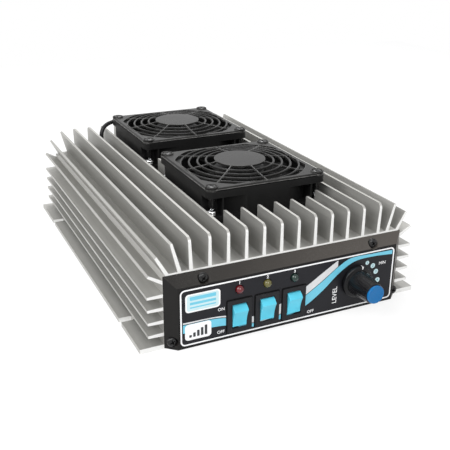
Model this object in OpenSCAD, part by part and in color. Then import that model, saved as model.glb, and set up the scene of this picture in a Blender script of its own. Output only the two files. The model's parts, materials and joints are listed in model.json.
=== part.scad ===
// Shortwave (HF) linear amplifier: a finned aluminium body with two cooling fans let into
// its top fins, a moulded control panel in front and coaxial sockets at the rear.
// Millimetres. X runs to the right seen from the front, Y to the rear, Z up.
// The origin is the middle of the underside, level with the surface that it stands on.

/* [Heatsink] */
// Length of the extrusion, front to rear
sink_len = 240; // [225:5:300]
// Width over the two outer walls
wall_span = 154; // [152:1:162]
// Thickness of each outer wall
wall_t = 4; // [3:0.5:5]
// Height of the plate's top face above the underside
deck_z = 45; // [44:0.5:52]
// Thickness of the top plate
deck_t = 8; // [7:0.5:9]
// Number of upright fins on top
fin_count = 12; // [12:2:14]
// Spacing of the upright fins
fin_pitch = 11; // [10.7:0.1:11.4]
// Height of the upright fins above the plate
fin_h = 18.5; // [15:0.5:24]
// Thickness of a fin at its root
fin_root_t = 2.2; // [1.8:0.1:2.6]
// Thickness of a fin at its tip
fin_tip_t = 1.6; // [1.2:0.1:1.8]
// Outward lean of the two outermost upright fins at their tips
edge_fin_lean = 0.8; // [0:0.2:1.2]
// Radius on the top corner at both ends of each upright fin
fin_end_r = 3; // [1:0.5:4]
// Angles of the three corner fins above the horizontal
corner_angle = [30.5, 61, 75]; // [20:0.5:80]
// Lengths of the three corner fins
corner_reach = [9.8, 13.2, 17.8]; // [8:0.2:20]
// Distances of the corner fins' roots inwards from the wall's outer face
corner_in = [0.4, 3, 10]; // [0:0.2:12]
// Distances of the corner fins' roots below the plate's top face
corner_down = [4.8, 1.2, 0.6]; // [0.4:0.2:6]
// Number of level fins on each side, above the foot flange
side_fins = 4; // [3:1:4]
// Spacing of the level side fins
side_pitch = 7.8; // [7:0.1:8]
// Reach of the side fins beyond the wall
side_reach = 9; // [6:0.5:11]
// Reach of the foot flange beyond the wall
flange_reach = 14; // [12.5:0.5:18]
// Thickness of the foot flange
flange_t = 2.8; // [2:0.2:4]
// Width of the open fixing slots in the flange
slot_w = 4.8; // [4.4:0.1:5.5]
// Depth of the fixing slots from the flange's edge
slot_depth = 8.5; // [7:0.5:10]
// Distance of the front slots from the front end
slot_front = 35; // [25:1:45]
// Distance of the rear slots from the rear end
slot_rear = 39; // [25:1:45]

/* [Fans] */
// Width of the square fan frame
fan_size = 80; // [78:0.5:81]
// Thickness of the fan frame
fan_t = 20; // [20:0.5:25]
// Distance of the fan's screw holes from the sides of its frame
fan_hole_in = 4.25; // [4:0.25:5]
// Height of the shortened fins that the fans stand on
stub_h = 7; // [5:0.5:10]
// Distance of the front fan's middle from the front end
fan_front_at = 76.5; // [70:0.5:80]
// Distance between the middles of the two fans
fan_apart = 108; // [98:0.5:112]
// Gap between a fan and the fin ends before and behind it
pocket_gap = 8; // [3:0.5:8]
// Thickness of the fan frame's flanges
fan_flange_t = 4.2; // [3:0.2:5]
// Least wall between the fan's duct and the sides of its frame
duct_side = 2; // [1.5:0.25:3]
// Radius of the fan's hub
hub_r = 17; // [16:0.5:20]
// Number of fan blades
blade_count = 7; // [5:1:9]
// Pitch angle of the blades from the horizontal
blade_pitch = 34; // [25:1:45]
// Radial gap between blades and duct
blade_gap = 1; // [0.6:0.1:2]
// Radius of the fan's steel shaft
fan_shaft_r = 1.5; // [1.2:0.1:2]
// Thickness of the finger guard's border
guard_t = 1.8; // [1.4:0.1:2.6]
// Rise of the guard's middle disc above its border
guard_dome = 3.1; // [1.5:0.1:4]
// Radius of the guard's middle disc
guard_disc_r = 16.5; // [14:0.5:18]
// Radius of the guard's smallest ring
guard_ring_r = 21.7; // [20:0.1:24]
// Step in radius from ring to ring
guard_ring_step = 5.4; // [4.8:0.1:5.5]
// Number of rings in the guard
guard_rings = 4; // [3:1:4]
// Width of a guard ring
guard_ring_w = 1.5; // [1:0.1:2]
// Number of spokes in the guard
guard_spokes = 8; // [4:4:8]
// Diameter of the fan lead
lead_d = 3.2; // [2.4:0.1:3.2]

/* [Control panel] */
// Depth of the panel in front of the heatsink
panel_depth = 5.5; // [5:0.1:8]
// Width of the panel's bevel at the top and both sides
panel_bevel = 6; // [4:0.2:7]
// Thickness of the panel's front wall
panel_wall = 2.5; // [2:0.1:3]
// Drop of the panel's top edge below the heatsink's plate
panel_drop = 1; // [0.5:0.5:2]
// Distance of the panel's lower edge above the underside
panel_lift = 0.4; // [0.2:0.1:1]
// Thickness of the printed overlay
label_t = 0.3; // [0.2:0.1:0.6]
// Inset of the overlay from the edges of the panel's flat face
label_inset = 1.2; // [0.4:0.2:2]
// Corner radius of the overlay
label_r = 3; // [2:0.5:6]
// Spacing of the rocker switches and of the lamps above them
switch_pitch = 17.4; // [16:0.1:19]
// Middle of the middle switch, left of the panel's middle
switch_left = 17; // [12:0.5:22]
// Height of the switches' middle
switch_z = 14.2; // [13.5:0.1:15]
// Height of the lamps' middle
lamp_z = 30.2; // [29:0.1:32]
// Radius of a lamp's dome
lamp_r = 2.5; // [1.5:0.1:2.6]
// Position of the knob, right of the panel's middle
knob_x = 42.4; // [38:0.2:48]
// Height of the knob's axis
knob_z = 19.8; // [19:0.2:21]

/* [Rocker switches] */
// Width of a switch bezel
bezel_w = 15; // [14:0.2:16]
// Height of a switch bezel
bezel_h = 20; // [19.8:0.2:22]
// Thickness of a switch bezel
bezel_t = 0.9; // [0.6:0.1:1.6]
// Width of the switch body behind the panel
switch_body_w = 12.8; // [12.6:0.1:13.6]
// Height of the switch body behind the panel
switch_body_h = 19; // [18.6:0.1:19.8]
// Depth of the switch body behind the bezel
switch_body_d = 15; // [13:0.5:18]
// Width of the rocker
rocker_w = 8.6; // [7.5:0.1:9]
// Radius of the rocker's ends about its pivot
rocker_r = 7.2; // [7:0.1:7.8]
// Distance from the rocker's pivot to the deepest line of its hollow face
hollow_depth = 4.2; // [4:0.05:4.6]
// Radius of the rocker's hollow face
hollow_r = 20; // [14:1:40]
// Angle that the rocker tips through
rocker_throw = 30; // [20:1:34]
// Radius of the rocker's pivot pins
trunnion_r = 1.2; // [0.8:0.1:1.5]
// Depth of the pivot behind the bezel's front
pivot_depth = 3.3; // [3:0.1:4]

/* [Knob] */
// Length of the knob
knob_len = 20.6; // [18:0.2:24]
// Radius of the knob's skirt
skirt_r = 9.9; // [9.5:0.1:11]
// Thickness of the knob's skirt
skirt_t = 3; // [2.6:0.1:4]
// Radius of the grip where it leaves the skirt
grip_r = 7.9; // [7.5:0.1:8.5]
// Radius of the grip at its front end
grip_tip_r = 6.2; // [6:0.1:7.4]
// Number of flutes round the grip
flute_count = 24; // [16:1:28]
// Thickness of the coloured cap on the knob's end
cap_t = 1.5; // [1:0.1:2.5]
// Gap between the overlay and the knob
knob_gap = 0.6; // [0.4:0.1:1]
// Radius of the rotary switch's shaft
dial_shaft_r = 3; // [2:0.25:3]

/* [Rear panel and sockets] */
// Thickness of the rear panel
rear_t = 2.5; // [2:0.1:4]
// Distance of each coaxial socket from the middle
socket_x = 48; // [40:1:55]
// Height of the coaxial sockets
socket_z = 22; // [20:0.5:24]
// Side of a coaxial socket's square flange
socket_flange = 25.4; // [25:0.1:26]
// Spacing of the screws in a socket's flange
socket_screw_pitch = 18.3; // [18:0.1:18.6]
// Radius over a socket's thread
socket_thread_r = 7.94; // [7.5:0.02:8.2]
// Length of a socket's threaded barrel
socket_len = 12.5; // [11:0.5:15]
// Radius of the bore in a socket's middle contact
contact_bore_r = 2.05; // [1.9:0.05:2.2]
// Radius of the supply lead's bore in its bush
gland_bore_r = 4.5; // [3:0.25:5]

/* [Underside and circuit board] */
// Thickness of the bottom cover
cover_t = 1.5; // [1:0.1:2]
// Number of cover screws on each side
cover_screws = 4; // [3:1:5]
// Width of the circuit board
board_w = 128; // [124:1:132]
// Length of the circuit board
board_len = 196; // [190:1:198]
// Thickness of the circuit board
board_t = 1.6; // [1.2:0.2:2]
// Length of the spacers between the plate and the board
spacer_len = 3; // [2.8:0.1:4]

/* [Fits] */
// Radial clearance of a running shaft or pin
run_gap = 0.05; // [0.02:0.01:0.1]
// Clearance between pieces that are put together by hand
fit_gap = 0.2; // [0.1:0.05:0.3]
// Clearance round a piece that moves
move_gap = 0.3; // [0.3:0.05:0.4]

/* [Hidden] */
$fn = 48;
eps = 0.01;

// Heatsink places
wall_out = wall_span / 2;
wall_in = wall_out - wall_t;
front_y = -sink_len / 2;
rear_y = sink_len / 2;
fin_top_z = deck_z + fin_h;
ceiling_z = deck_z - deck_t;
outer_fin_x = (fin_count - 1) / 2 * fin_pitch;
rail_w = 5.5;
rail_h = 8.7;
slot_ys = [front_y + slot_front, rear_y - slot_rear];

// Screws: shank radius, head radius and head height
m3 = [1.5, 2.9, 2.2];
m3_small = [1.25, 2.3, 1.6];
m4 = [1.9, 3, 1.6];
tap_depth = 12;

// Panel screws
top_screw_x = 55;
top_screw_z = deck_z - 4.7;
low_screw_x = wall_out - 3.5;
low_screw_z = 5.2;
panel_screw_xz = [
    [-top_screw_x, top_screw_z], [top_screw_x, top_screw_z],
    [-low_screw_x, low_screw_z], [low_screw_x, low_screw_z]
];
panel_seat = 2;
panel_screw_len = 10;

// Control panel places
panel_top_z = deck_z - panel_drop;
face_y = front_y - panel_depth;
label_y = face_y - label_t;
panel_back_y = face_y + panel_wall;
face_half_w = wall_out - panel_bevel;
face_top_z = panel_top_z - panel_bevel;
hollow_half_w = low_screw_x - 4.5;
label_half_w = face_half_w - label_inset;
label_top_z = face_top_z - label_inset;
panel_foot = 1.8;
panel_brow = 1.4;
label_low_z = panel_lift + 1.6;

// Rocker switch places
bezel_front_y = label_y - bezel_t;
pivot_y = bezel_front_y + pivot_depth;
switch_xs = [-switch_left - switch_pitch, -switch_left, -switch_left + switch_pitch];
rocker_colour = "#5cc4ee";
window_half_h = rocker_r + move_gap;
paddle_depth = 1.5;
terminal_size = [0.8, 7, 4.8];
terminal_pitch = 5;

// Lamps
lamp_rim_r = lamp_r + 0.4;
lamp_rim_t = 1;
lamp_leg_len = 7;
lamp_board_y = panel_back_y + lamp_leg_len;
lamp_board_size = [68, board_t, 11];
lamp_post_x = 30;
lamp_post_r = 2.5;

// Knob and rotary switch
knob_back_y = label_y - knob_gap;
knob_front_y = knob_back_y - knob_len;
nut_t = 1.6;
nut_r = 6.3;
knob_hollow_r = nut_r + 0.5;
knob_hollow_d = 2.3;
grip_len = knob_len - cap_t;
cap_r = grip_tip_r - 0.6;
cap_bevel = 0.6;
cap_plug_r = 4;
cap_plug_len = 1.9;
skirt_bevel = 0.7;
flute_r = 0.6;
dial_body_r = 12;
dial_body_d = 11;
bushing_r = 4.5;
bushing_len = panel_wall + label_t + nut_t + 0.4;
shaft_in = 8;
shaft_out = 15;

// Fan places
fan_x = fin_pitch / 2;
fan_ys = [front_y + fan_front_at, front_y + fan_front_at + fan_apart];
fan_z = deck_z + stub_h;
fan_top_z = fan_z + fan_t;
fan_hole = fan_size / 2 - fan_hole_in;
fan_corner_r = 4;
duct_wall = 4.3;
duct_r = fan_size / 2 - duct_side;
duct_out_r = duct_r + duct_wall;
rib_t = 1;
rib_in = 10;
rib_set_back = 0.4;
pocket_side = 1.4;
pocket_end = 0.5;
pocket_gap_x = 3 * fin_pitch;
boss_t = 3;
strut_w = 3.4;
tube_r = 4.4;
bearing_r = 3;
bearing_len = 7;
hub_top_z = fan_top_z - 1;
hub_low_z = fan_z + boss_t + 1.2;
hub_wall = 1.4;
magnet_t = 2;
magnet_h = 9;
winding_gap = 0.6;
blade_t = 1.5;
blade_low_z = hub_low_z + 0.6;
blade_high_z = hub_top_z - 1.2;
guard_low_z = fan_top_z;
guard_border = 3.6;
guard_boss_r = 4.2;
guard_boss_h = 0.8;
guard_seat_t = 1;
dome_power = 0.75;
dome_steps = 6;
guard_bulge = 2;
spoke_w = 1.2;
bar_t = 1.4;
ring_lip = 0.1;
guard_screw_len = 12;
washer_t = 1.2;
fan_screw_len = 18;

// Fan lead: hand-set route from the rear side of the rear fan's top flange, over the third fin and
// down between two fins to the circuit board. X and Y count from the fan's middle, Z from the plate.
lead_route = [
    [-27, 30, 24.9], [-27, 34, 24.9], [-27, 39.6, 24.9], [-28.4, 42.2, 24.8],
    [-31.6, 43.4, 24.5], [-35.6, 43.2, 24], [-39.6, 42.2, 23.4], [-43.4, 40.6, 22.6],
    [-46.6, 39, 20.9], [-48.8, 37.9, 17.8], [-49.6, 37.4, 13.6], [-49.5, 37, 8],
    [-49.5, 37, 2], [-49.5, 37, -11]
];
lead_sides = 8;
lead_hole_r = lead_d / 2 + fit_gap;
lead_end = lead_route[len(lead_route) - 1];
grommet_x = fan_x + lead_end[0];
grommet_y = fan_ys[1] + lead_end[1];
grommet_r = 3.2;
grommet_flange_r = 4.2;
grommet_flange_t = 1.2;

// Rear places
plate_y = rear_y + rear_t;
socket_base_t = 1.6;
socket_body_r = 7.4;
socket_body_d = 9;
insulator_r = 6.2;
contact_r = 2.9;
contact_len = 9;
socket_lip = 1;
socket_screw_len = 7;
contact_tail_r = 1.4;
contact_tail_len = 4;
socket_hole = socket_screw_pitch / 2;
gland_z = 13;
gland_r = 7;
gland_flange_r = 9;
gland_flange_t = 2;

// Bottom cover
cover_half_w = wall_in + 2;
cover_screw_x = wall_in - rail_w / 2;
cover_end = 22;
cover_screw_ys = [
    for (i = [0 : cover_screws - 1])
        front_y + cover_end + i * (sink_len - 2 * cover_end) / (cover_screws - 1)
];
csk_r = 2.9;
cover_screw_len = 6;

// Circuit board and what it carries; the parts on it hang from its lower face
board_top_z = ceiling_z - spacer_len;
board_low_z = board_top_z - board_t;
board_y = 7;
board_hole_in = [6, 8];
board_hole_x = board_w / 2 - board_hole_in[0];
board_hole_y = board_len / 2 - board_hole_in[1];
board_hole_xy = [
    for (x = [-board_hole_x, board_hole_x])
        for (y = [-board_hole_y, 0, board_hole_y])
            [x, board_y + y]
];
spacer_r = 3;
chip_pitch = 28;
chip_xs = [for (i = [-1.5 : 1 : 1.5]) i * chip_pitch];
chip_y = -18;
chip_flange = [24.6, 9.6, 1.4];
chip_hole = 9.2;
chip_body = [12.4, 9.2, 2.6];
chip_tab = [5.4, 5, 0.2];
chip_window = [25.2, 10.4];
chip_hole_xs = [for (x = chip_xs) for (s = [-1, 1]) x + s * chip_hole];
input_core = [20, 20, 10];
input_y = -52;
output_core = [38, 34, 17];
output_y = 14;
coil_r = 6.5;
coil_len = 12;
coil_wire_t = 1.5;
coil_count = 6;
coil_pitch = 18;
coil_y = 52;
choke_xy = [44, 14];
choke_r = 11;
choke_bore_r = 5;
choke_h = 8;
relay = [29, 13, 16];
relay_x = 30;
relay_y = 84;
can_r = 5;
can_h = 16;
can_xy = [[-50, -38], [-36, -38], [50, -38], [-50, 22]];
fuse = [9, 6, 11];
fuse_pitch = 12;
fuse_y = 84;
fuse_wall = 1.5;
fuse_seat = 5;

// ---- Shared shapes ----

// A rectangle with round corners
module round_rect(w, h, r) {
    square([w - 2 * r, h], center = true);
    square([w, h - 2 * r], center = true);
    for (x = [-1, 1])
        for (y = [-1, 1])
            translate([x * (w / 2 - r), y * (h / 2 - r)])
                circle(r);
}

// A cross-head screw with its seat at the origin, its head up and its shank down
module pan_screw(size, len) {
    recess_w = size[0] * 0.5;
    recess_l = size[1] * 1.2;
    difference() {
        union() {
            cylinder(r = size[1], h = size[2] * 0.6);
            translate([0, 0, size[2] * 0.6 - eps])
                cylinder(r1 = size[1], r2 = size[1] * 0.62, h = size[2] * 0.4);
            translate([0, 0, -len])
                cylinder(r = size[0], h = len + eps);
        }
        for (a = [0, 90])
            rotate([0, 0, a])
                translate([-recess_l / 2, -recess_w / 2, size[2] * 0.35])
                    cube([recess_l, recess_w, size[2]]);
    }
}

// Turns a shape that was drawn upwards so that it faces the front, or the rear
module facing_front() {
    rotate([90, 0, 0])
        children();
}

module facing_rear() {
    rotate([-90, 0, 0])
        children();
}

// Repeats a shape at the four corners of a square
module at_corners(half) {
    for (x = [-half, half])
        for (y = [-half, half])
            translate([x, y, 0])
                children();
}

// ---- Heatsink ----

// One tapered fin that grows along +X from its root at the origin
module fin_shape(reach, root_t, tip_t) {
    sunk = 0.6;
    polygon([
        [-sunk, -root_t / 2], [reach, -tip_t / 2], [reach, tip_t / 2], [-sunk, root_t / 2]
    ]);
}

module upright_fins() {
    for (i = [0 : fin_count - 1]) {
        x = (i - (fin_count - 1) / 2) * fin_pitch;
        edge = i == 0 ? -1 : i == fin_count - 1 ? 1 : 0;
        lean = edge * edge_fin_lean;
        polygon([
            [x - fin_root_t / 2, deck_z - 0.5], [x + fin_root_t / 2, deck_z - 0.5],
            [x + lean + fin_tip_t / 2, fin_top_z], [x + lean - fin_tip_t / 2, fin_top_z]
        ]);
    }
}

// The right half of the side: corner fins, level fins, foot flange and cover rail
module side_shape() {
    for (i = [0 : 2])
        translate([wall_out - corner_in[i], deck_z - corner_down[i]])
            rotate(corner_angle[i])
                fin_shape(corner_reach[i], fin_root_t, fin_tip_t);
    for (i = [1 : side_fins])
        translate([wall_out, flange_t / 2 + i * side_pitch])
            fin_shape(side_reach, fin_root_t, fin_tip_t);
    translate([wall_out - 1, 0])
        square([flange_reach + 1, flange_t]);
}

module sink_shape() {
    chamfer = 3.5;
    upright_fins();
    side_shape();
    mirror([1, 0])
        side_shape();
    difference() {
        polygon([
            [-wall_out, 0], [wall_out, 0], [wall_out, deck_z - chamfer],
            [wall_out - chamfer, deck_z], [chamfer - wall_out, deck_z], [-wall_out, deck_z - chamfer]
        ]);
        polygon([
            [-cover_half_w, -1], [cover_half_w, -1], [cover_half_w, cover_t],
            [wall_in - rail_w, cover_t], [wall_in - rail_w, rail_h], [wall_in, rail_h],
            [wall_in, ceiling_z], [-wall_in, ceiling_z], [-wall_in, rail_h],
            [rail_w - wall_in, rail_h], [rail_w - wall_in, cover_t], [-cover_half_w, cover_t]
        ]);
    }
}

// The fins are cut down where the fans stand on them. The cuts before and behind a fan
// stop short of the fin under the fan's right edge
module fan_pockets() {
    left_x = fan_x - fan_size / 2 - pocket_side;
    for (y = fan_ys) {
        translate([left_x, y - fan_size / 2 - pocket_end, fan_z])
            cube([fan_size + 2 * pocket_side, fan_size + 2 * pocket_end, fin_h]);
        translate([left_x, y - fan_size / 2 - pocket_gap, fan_z])
            cube([pocket_gap_x - left_x, fan_size + 2 * pocket_gap, fin_h]);
    }
}

// Rounds the top corner at both ends of the upright fins
module fin_end_cuts() {
    half_x = outer_fin_x + edge_fin_lean + fin_tip_t;
    round_z = fin_top_z - fin_end_r;
    for (side = [0, 1])
        mirror([0, side, 0])
            difference() {
                translate([-half_x, front_y - 1, round_z])
                    cube([2 * half_x, fin_end_r + 1, fin_end_r + 1]);
                translate([-half_x - 1, front_y + fin_end_r, round_z])
                    rotate([0, 90, 0])
                        cylinder(r = fin_end_r, h = 2 * half_x + 2);
            }
}

// Open slots in the foot flanges for screws into a shelf or a vehicle's floor
module flange_slots() {
    edge = wall_out + flange_reach;
    for (s = [-1, 1])
        for (y = slot_ys) {
            translate([s * (edge - slot_depth + slot_w / 2), y, -1])
                cylinder(r = slot_w / 2, h = flange_t + 2);
            translate([s * (edge - (slot_depth - slot_w / 2) / 2 + 1), y, flange_t / 2])
                cube([slot_depth - slot_w / 2 + 2, slot_w, flange_t + 2], center = true);
        }
}

module sink_holes() {
    for (p = panel_screw_xz) {
        translate([p[0], front_y - 1, p[1]])
            facing_rear()
                cylinder(r = m3[0] + run_gap, h = tap_depth + 1);
        translate([p[0], rear_y + 1, p[1]])
            facing_front()
                cylinder(r = m3[0] + run_gap, h = tap_depth + 1);
    }
    for (s = [-1, 1])
        for (y = cover_screw_ys)
            translate([s * cover_screw_x, y, 0])
                cylinder(r = m3[0] + run_gap, h = rail_h - 1);
    for (y = fan_ys)
        translate([fan_x, y, ceiling_z + 2])
            at_corners(fan_hole)
                cylinder(r = m3[0] + run_gap, h = deck_t + stub_h + 2);
    for (p = board_hole_xy)
        translate([p[0], p[1], ceiling_z - 1])
            cylinder(r = m3_small[0] + run_gap, h = deck_t - 1);
    for (x = chip_hole_xs)
        translate([x, chip_y, ceiling_z - 1])
            cylinder(r = m3_small[0] + run_gap, h = deck_t - 1);
    translate([grommet_x, grommet_y, ceiling_z - 1])
        cylinder(r = grommet_r, h = deck_t + 2);
}

module heatsink() {
    color("#a9aaa5")
        difference() {
            translate([0, rear_y, 0])
                facing_front()
                    linear_extrude(sink_len)
                        sink_shape();
            fan_pockets();
            fin_end_cuts();
            flange_slots();
            sink_holes();
        }
}

// ---- Bottom cover ----

module bottom_cover() {
    color("#b4b6b3")
        difference() {
            translate([-cover_half_w + fit_gap, front_y, 0])
                cube([2 * (cover_half_w - fit_gap), sink_len, cover_t]);
            for (s = [-1, 1])
                for (y = cover_screw_ys)
                    translate([s * cover_screw_x, y, -eps])
                        cylinder(r1 = csk_r + fit_gap, r2 = m3[0] + fit_gap, h = cover_t + 2 * eps);
        }
}

module cover_screws_set() {
    head_z = 0.1;
    color("#8d8f92")
        for (s = [-1, 1])
            for (y = cover_screw_ys)
                translate([s * cover_screw_x, y, head_z])
                    difference() {
                        union() {
                            cylinder(r1 = csk_r, r2 = m3[0], h = cover_t - head_z);
                            cylinder(r = m3[0], h = cover_screw_len);
                        }
                        for (a = [0, 90])
                            rotate([0, 0, a])
                                cube([csk_r * 1.1, m3[0] * 0.5, cover_t], center = true);
                    }
}

// ---- Control panel ----

module panel_block() {
    back_h = panel_top_z - panel_lift;
    intersection() {
        translate([-wall_out, 0, 0])
            rotate([90, 0, 90])
                linear_extrude(wall_span)
                    polygon([
                        [front_y, panel_lift], [face_y, panel_lift],
                        [face_y, face_top_z], [front_y, panel_top_z]
                    ]);
        translate([0, 0, panel_lift])
            linear_extrude(back_h)
                polygon([
                    [-wall_out, front_y], [wall_out, front_y],
                    [face_half_w, face_y], [-face_half_w, face_y]
                ]);
    }
}

// Pockets and holes for the four panel screws
module panel_screw_cuts() {
    for (p = panel_screw_xz)
        translate([p[0], front_y - panel_seat, p[1]])
            facing_front() {
                cylinder(r = m3[1] + fit_gap, h = panel_depth);
                translate([0, 0, -panel_seat - 1])
                    cylinder(r = m3[0] + fit_gap, h = panel_seat + 2);
            }
}

// Openings for the switches, the lamps and the rotary switch, through panel and overlay
module control_cuts() {
    cut_d = panel_depth + 4;
    for (x = switch_xs) {
        translate([x, face_y, switch_z])
            cube([switch_body_w + 2 * fit_gap, cut_d, switch_body_h + 2 * fit_gap], center = true);
        translate([x, front_y, lamp_z])
            facing_front()
                cylinder(r = lamp_r + fit_gap, h = cut_d);
    }
    translate([knob_x, front_y, knob_z])
        facing_front()
            cylinder(r = bushing_r + fit_gap, h = cut_d);
}

module front_panel() {
    hollow_low_z = panel_lift + panel_foot;
    hollow_top_z = face_top_z - panel_brow;
    color("#1b1b1d")
        difference() {
            union() {
                difference() {
                    panel_block();
                    translate([-hollow_half_w, panel_back_y, hollow_low_z])
                        cube([2 * hollow_half_w, panel_depth, hollow_top_z - hollow_low_z]);
                }
                for (s = [-1, 1])
                    translate([s * lamp_post_x - switch_left, panel_back_y - eps, lamp_z])
                        facing_rear()
                            cylinder(r = lamp_post_r, h = lamp_board_y - panel_back_y + eps);
            }
            panel_screw_cuts();
            control_cuts();
            for (s = [-1, 1])
                translate([s * lamp_post_x - switch_left, panel_back_y + 1, lamp_z])
                    facing_rear()
                        cylinder(r = m3_small[0] + run_gap, h = panel_depth + 6);
        }
}

module front_label() {
    color("#2b2b30")
        difference() {
            translate([0, face_y, (label_top_z + label_low_z) / 2])
                facing_front()
                    linear_extrude(label_t)
                        round_rect(2 * label_half_w, label_top_z - label_low_z, label_r);
            control_cuts();
        }
}

module front_panel_screws() {
    color("#141414")
        for (p = panel_screw_xz)
            translate([p[0], front_y - panel_seat, p[1]])
                facing_front()
                    pan_screw(m3, panel_screw_len);
}

// A lamp with its rim behind the panel's front wall and its two legs in the lamp board
module lamp(x, colour) {
    dome_y = label_y;
    leg_gap = 1.27;
    color(colour)
        translate([x, 0, lamp_z]) {
            translate([0, panel_back_y + lamp_rim_t, 0])
                facing_front()
                    cylinder(r = lamp_rim_r, h = lamp_rim_t);
            translate([0, panel_back_y + eps, 0])
                facing_front()
                    cylinder(r = lamp_r, h = panel_back_y - dome_y + eps);
            translate([0, dome_y, 0])
                facing_front()
                    rotate_extrude()
                        intersection() {
                            circle(lamp_r);
                            square(lamp_r + 1);
                        }
            for (s = [-1, 1])
                translate([s * leg_gap - 0.25, panel_back_y + lamp_rim_t - eps, -0.25])
                    cube([0.5, lamp_board_y - panel_back_y - lamp_rim_t + eps, 0.5]);
        }
}

module lamp_red() {
    lamp(switch_xs[0], "#b3142a");
}

module lamp_yellow() {
    lamp(switch_xs[1], "#a89a3c");
}

module lamp_green() {
    lamp(switch_xs[2], "#123f38");
}

module lamp_board() {
    low_z = lamp_z - lamp_board_size[2] / 2;
    color("#1e5a3c")
        difference() {
            translate([-switch_left - lamp_board_size[0] / 2, lamp_board_y, low_z])
                cube(lamp_board_size);
            for (s = [-1, 1])
                translate([s * lamp_post_x - switch_left, lamp_board_y - 1, lamp_z])
                    facing_rear()
                        cylinder(r = m3_small[0] + fit_gap, h = board_t + 2);
        }
}

// ---- Rocker switches ----

// Bezel and body with the rocker's well and the two holes for its pivot pins
module switch_body(x) {
    back_y = label_y + switch_body_d;
    well_back_y = pivot_y + 6;
    well_w = rocker_w + 2 * move_gap;
    color("#212124")
        difference() {
            union() {
                translate([x, label_y, switch_z])
                    facing_front()
                        linear_extrude(bezel_t)
                            round_rect(bezel_w, bezel_h, 0.8);
                translate([x - switch_body_w / 2, label_y - eps, switch_z - switch_body_h / 2])
                    cube([switch_body_w, back_y - label_y + eps, switch_body_h]);
            }
            translate([x - well_w / 2, bezel_front_y - 1, switch_z - window_half_h])
                cube([well_w, well_back_y - bezel_front_y + 1, 2 * window_half_h]);
            translate([x - switch_body_w / 2 - 1, pivot_y, switch_z])
                rotate([0, 90, 0])
                    cylinder(r = trunnion_r + run_gap, h = switch_body_w + 2);
        }
}

module switch_body_left() {
    switch_body(switch_xs[0]);
}

module switch_body_middle() {
    switch_body(switch_xs[1]);
}

module switch_body_right() {
    switch_body(switch_xs[2]);
}

module switch_terminals() {
    back_y = label_y + switch_body_d;
    color("#c9b37a")
        for (x = switch_xs)
            for (z = [-terminal_pitch, 0, terminal_pitch])
                translate([x - terminal_size[2] / 2, back_y, switch_z + z - terminal_size[0] / 2])
                    cube([terminal_size[2], terminal_size[1], terminal_size[0]]);
}

// Side view of the rocker, pressed in at its lower end: +X is out of the panel, +Y is up
module rocker_shape() {
    back = 2 * rocker_r;
    difference() {
        circle(rocker_r, $fn = 96);
        translate([-back - paddle_depth, -back])
            square([back, 2 * back]);
        rotate(-rocker_throw / 2)
            translate([hollow_depth + hollow_r, 0])
                circle(hollow_r, $fn = 180);
    }
}

module rocker(x) {
    pin_len = (switch_body_w - rocker_w) / 2 - fit_gap;
    color(rocker_colour)
        translate([x, pivot_y, switch_z]) {
            translate([rocker_w / 2, 0, 0])
                rotate([90, 0, -90])
                    linear_extrude(rocker_w)
                        rocker_shape();
            translate([-rocker_w / 2 - pin_len, 0, 0])
                rotate([0, 90, 0])
                    cylinder(r = trunnion_r, h = rocker_w + 2 * pin_len);
        }
}

module rocker_left() {
    rocker(switch_xs[0]);
}

module rocker_middle() {
    rocker(switch_xs[1]);
}

module rocker_right() {
    rocker(switch_xs[2]);
}

// ---- Power dial ----

module dial_switch() {
    color("#6d7074")
        difference() {
            translate([knob_x, panel_back_y, knob_z]) {
                facing_rear()
                    cylinder(r = dial_body_r, h = dial_body_d);
                translate([0, eps, 0])
                    facing_front()
                        cylinder(r = bushing_r, h = bushing_len + eps);
            }
            translate([knob_x, panel_back_y + shaft_in + 1, knob_z])
                facing_front()
                    cylinder(r = dial_shaft_r + run_gap, h = shaft_in + bushing_len + 2);
        }
}

module dial_nut() {
    color("#a7a9ab")
        translate([knob_x, label_y, knob_z])
            facing_front()
                difference() {
                    cylinder(r = nut_r, h = nut_t, $fn = 6);
                    translate([0, 0, -1])
                        cylinder(r = bushing_r + run_gap, h = nut_t + 2);
                }
}

module dial_shaft() {
    color("#c8c9ca")
        translate([knob_x, panel_back_y + shaft_in, knob_z])
            facing_front()
                cylinder(r = dial_shaft_r, h = shaft_in + panel_back_y - knob_back_y + shaft_out);
}

// Skirt and tapered grip with flutes, hollow behind for the nut
module knob() {
    taper = atan((grip_r - grip_tip_r) / (grip_len - skirt_t));
    color("#19191b")
        translate([knob_x, knob_back_y, knob_z])
            facing_front()
                difference() {
                    union() {
                        cylinder(r = skirt_r, h = skirt_t - skirt_bevel);
                        translate([0, 0, skirt_t - skirt_bevel])
                            cylinder(r1 = skirt_r, r2 = skirt_r - skirt_bevel, h = skirt_bevel);
                        translate([0, 0, skirt_t - eps])
                            cylinder(r1 = grip_r, r2 = grip_tip_r, h = grip_len - skirt_t + eps);
                    }
                    for (i = [0 : flute_count - 1])
                        rotate([0, 0, i * 360 / flute_count])
                            translate([grip_r + flute_r * 0.45, 0, skirt_t])
                                rotate([0, -taper, 0])
                                    cylinder(r = flute_r, h = knob_len + 1, $fn = 16);
                    translate([0, 0, -eps])
                        cylinder(r = knob_hollow_r, h = knob_hollow_d + eps);
                    cylinder(r = dial_shaft_r + run_gap, h = shaft_out + 0.5);
                    translate([0, 0, grip_len - cap_plug_len])
                        cylinder(r = cap_plug_r + run_gap, h = cap_plug_len + 1);
                }
}

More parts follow.
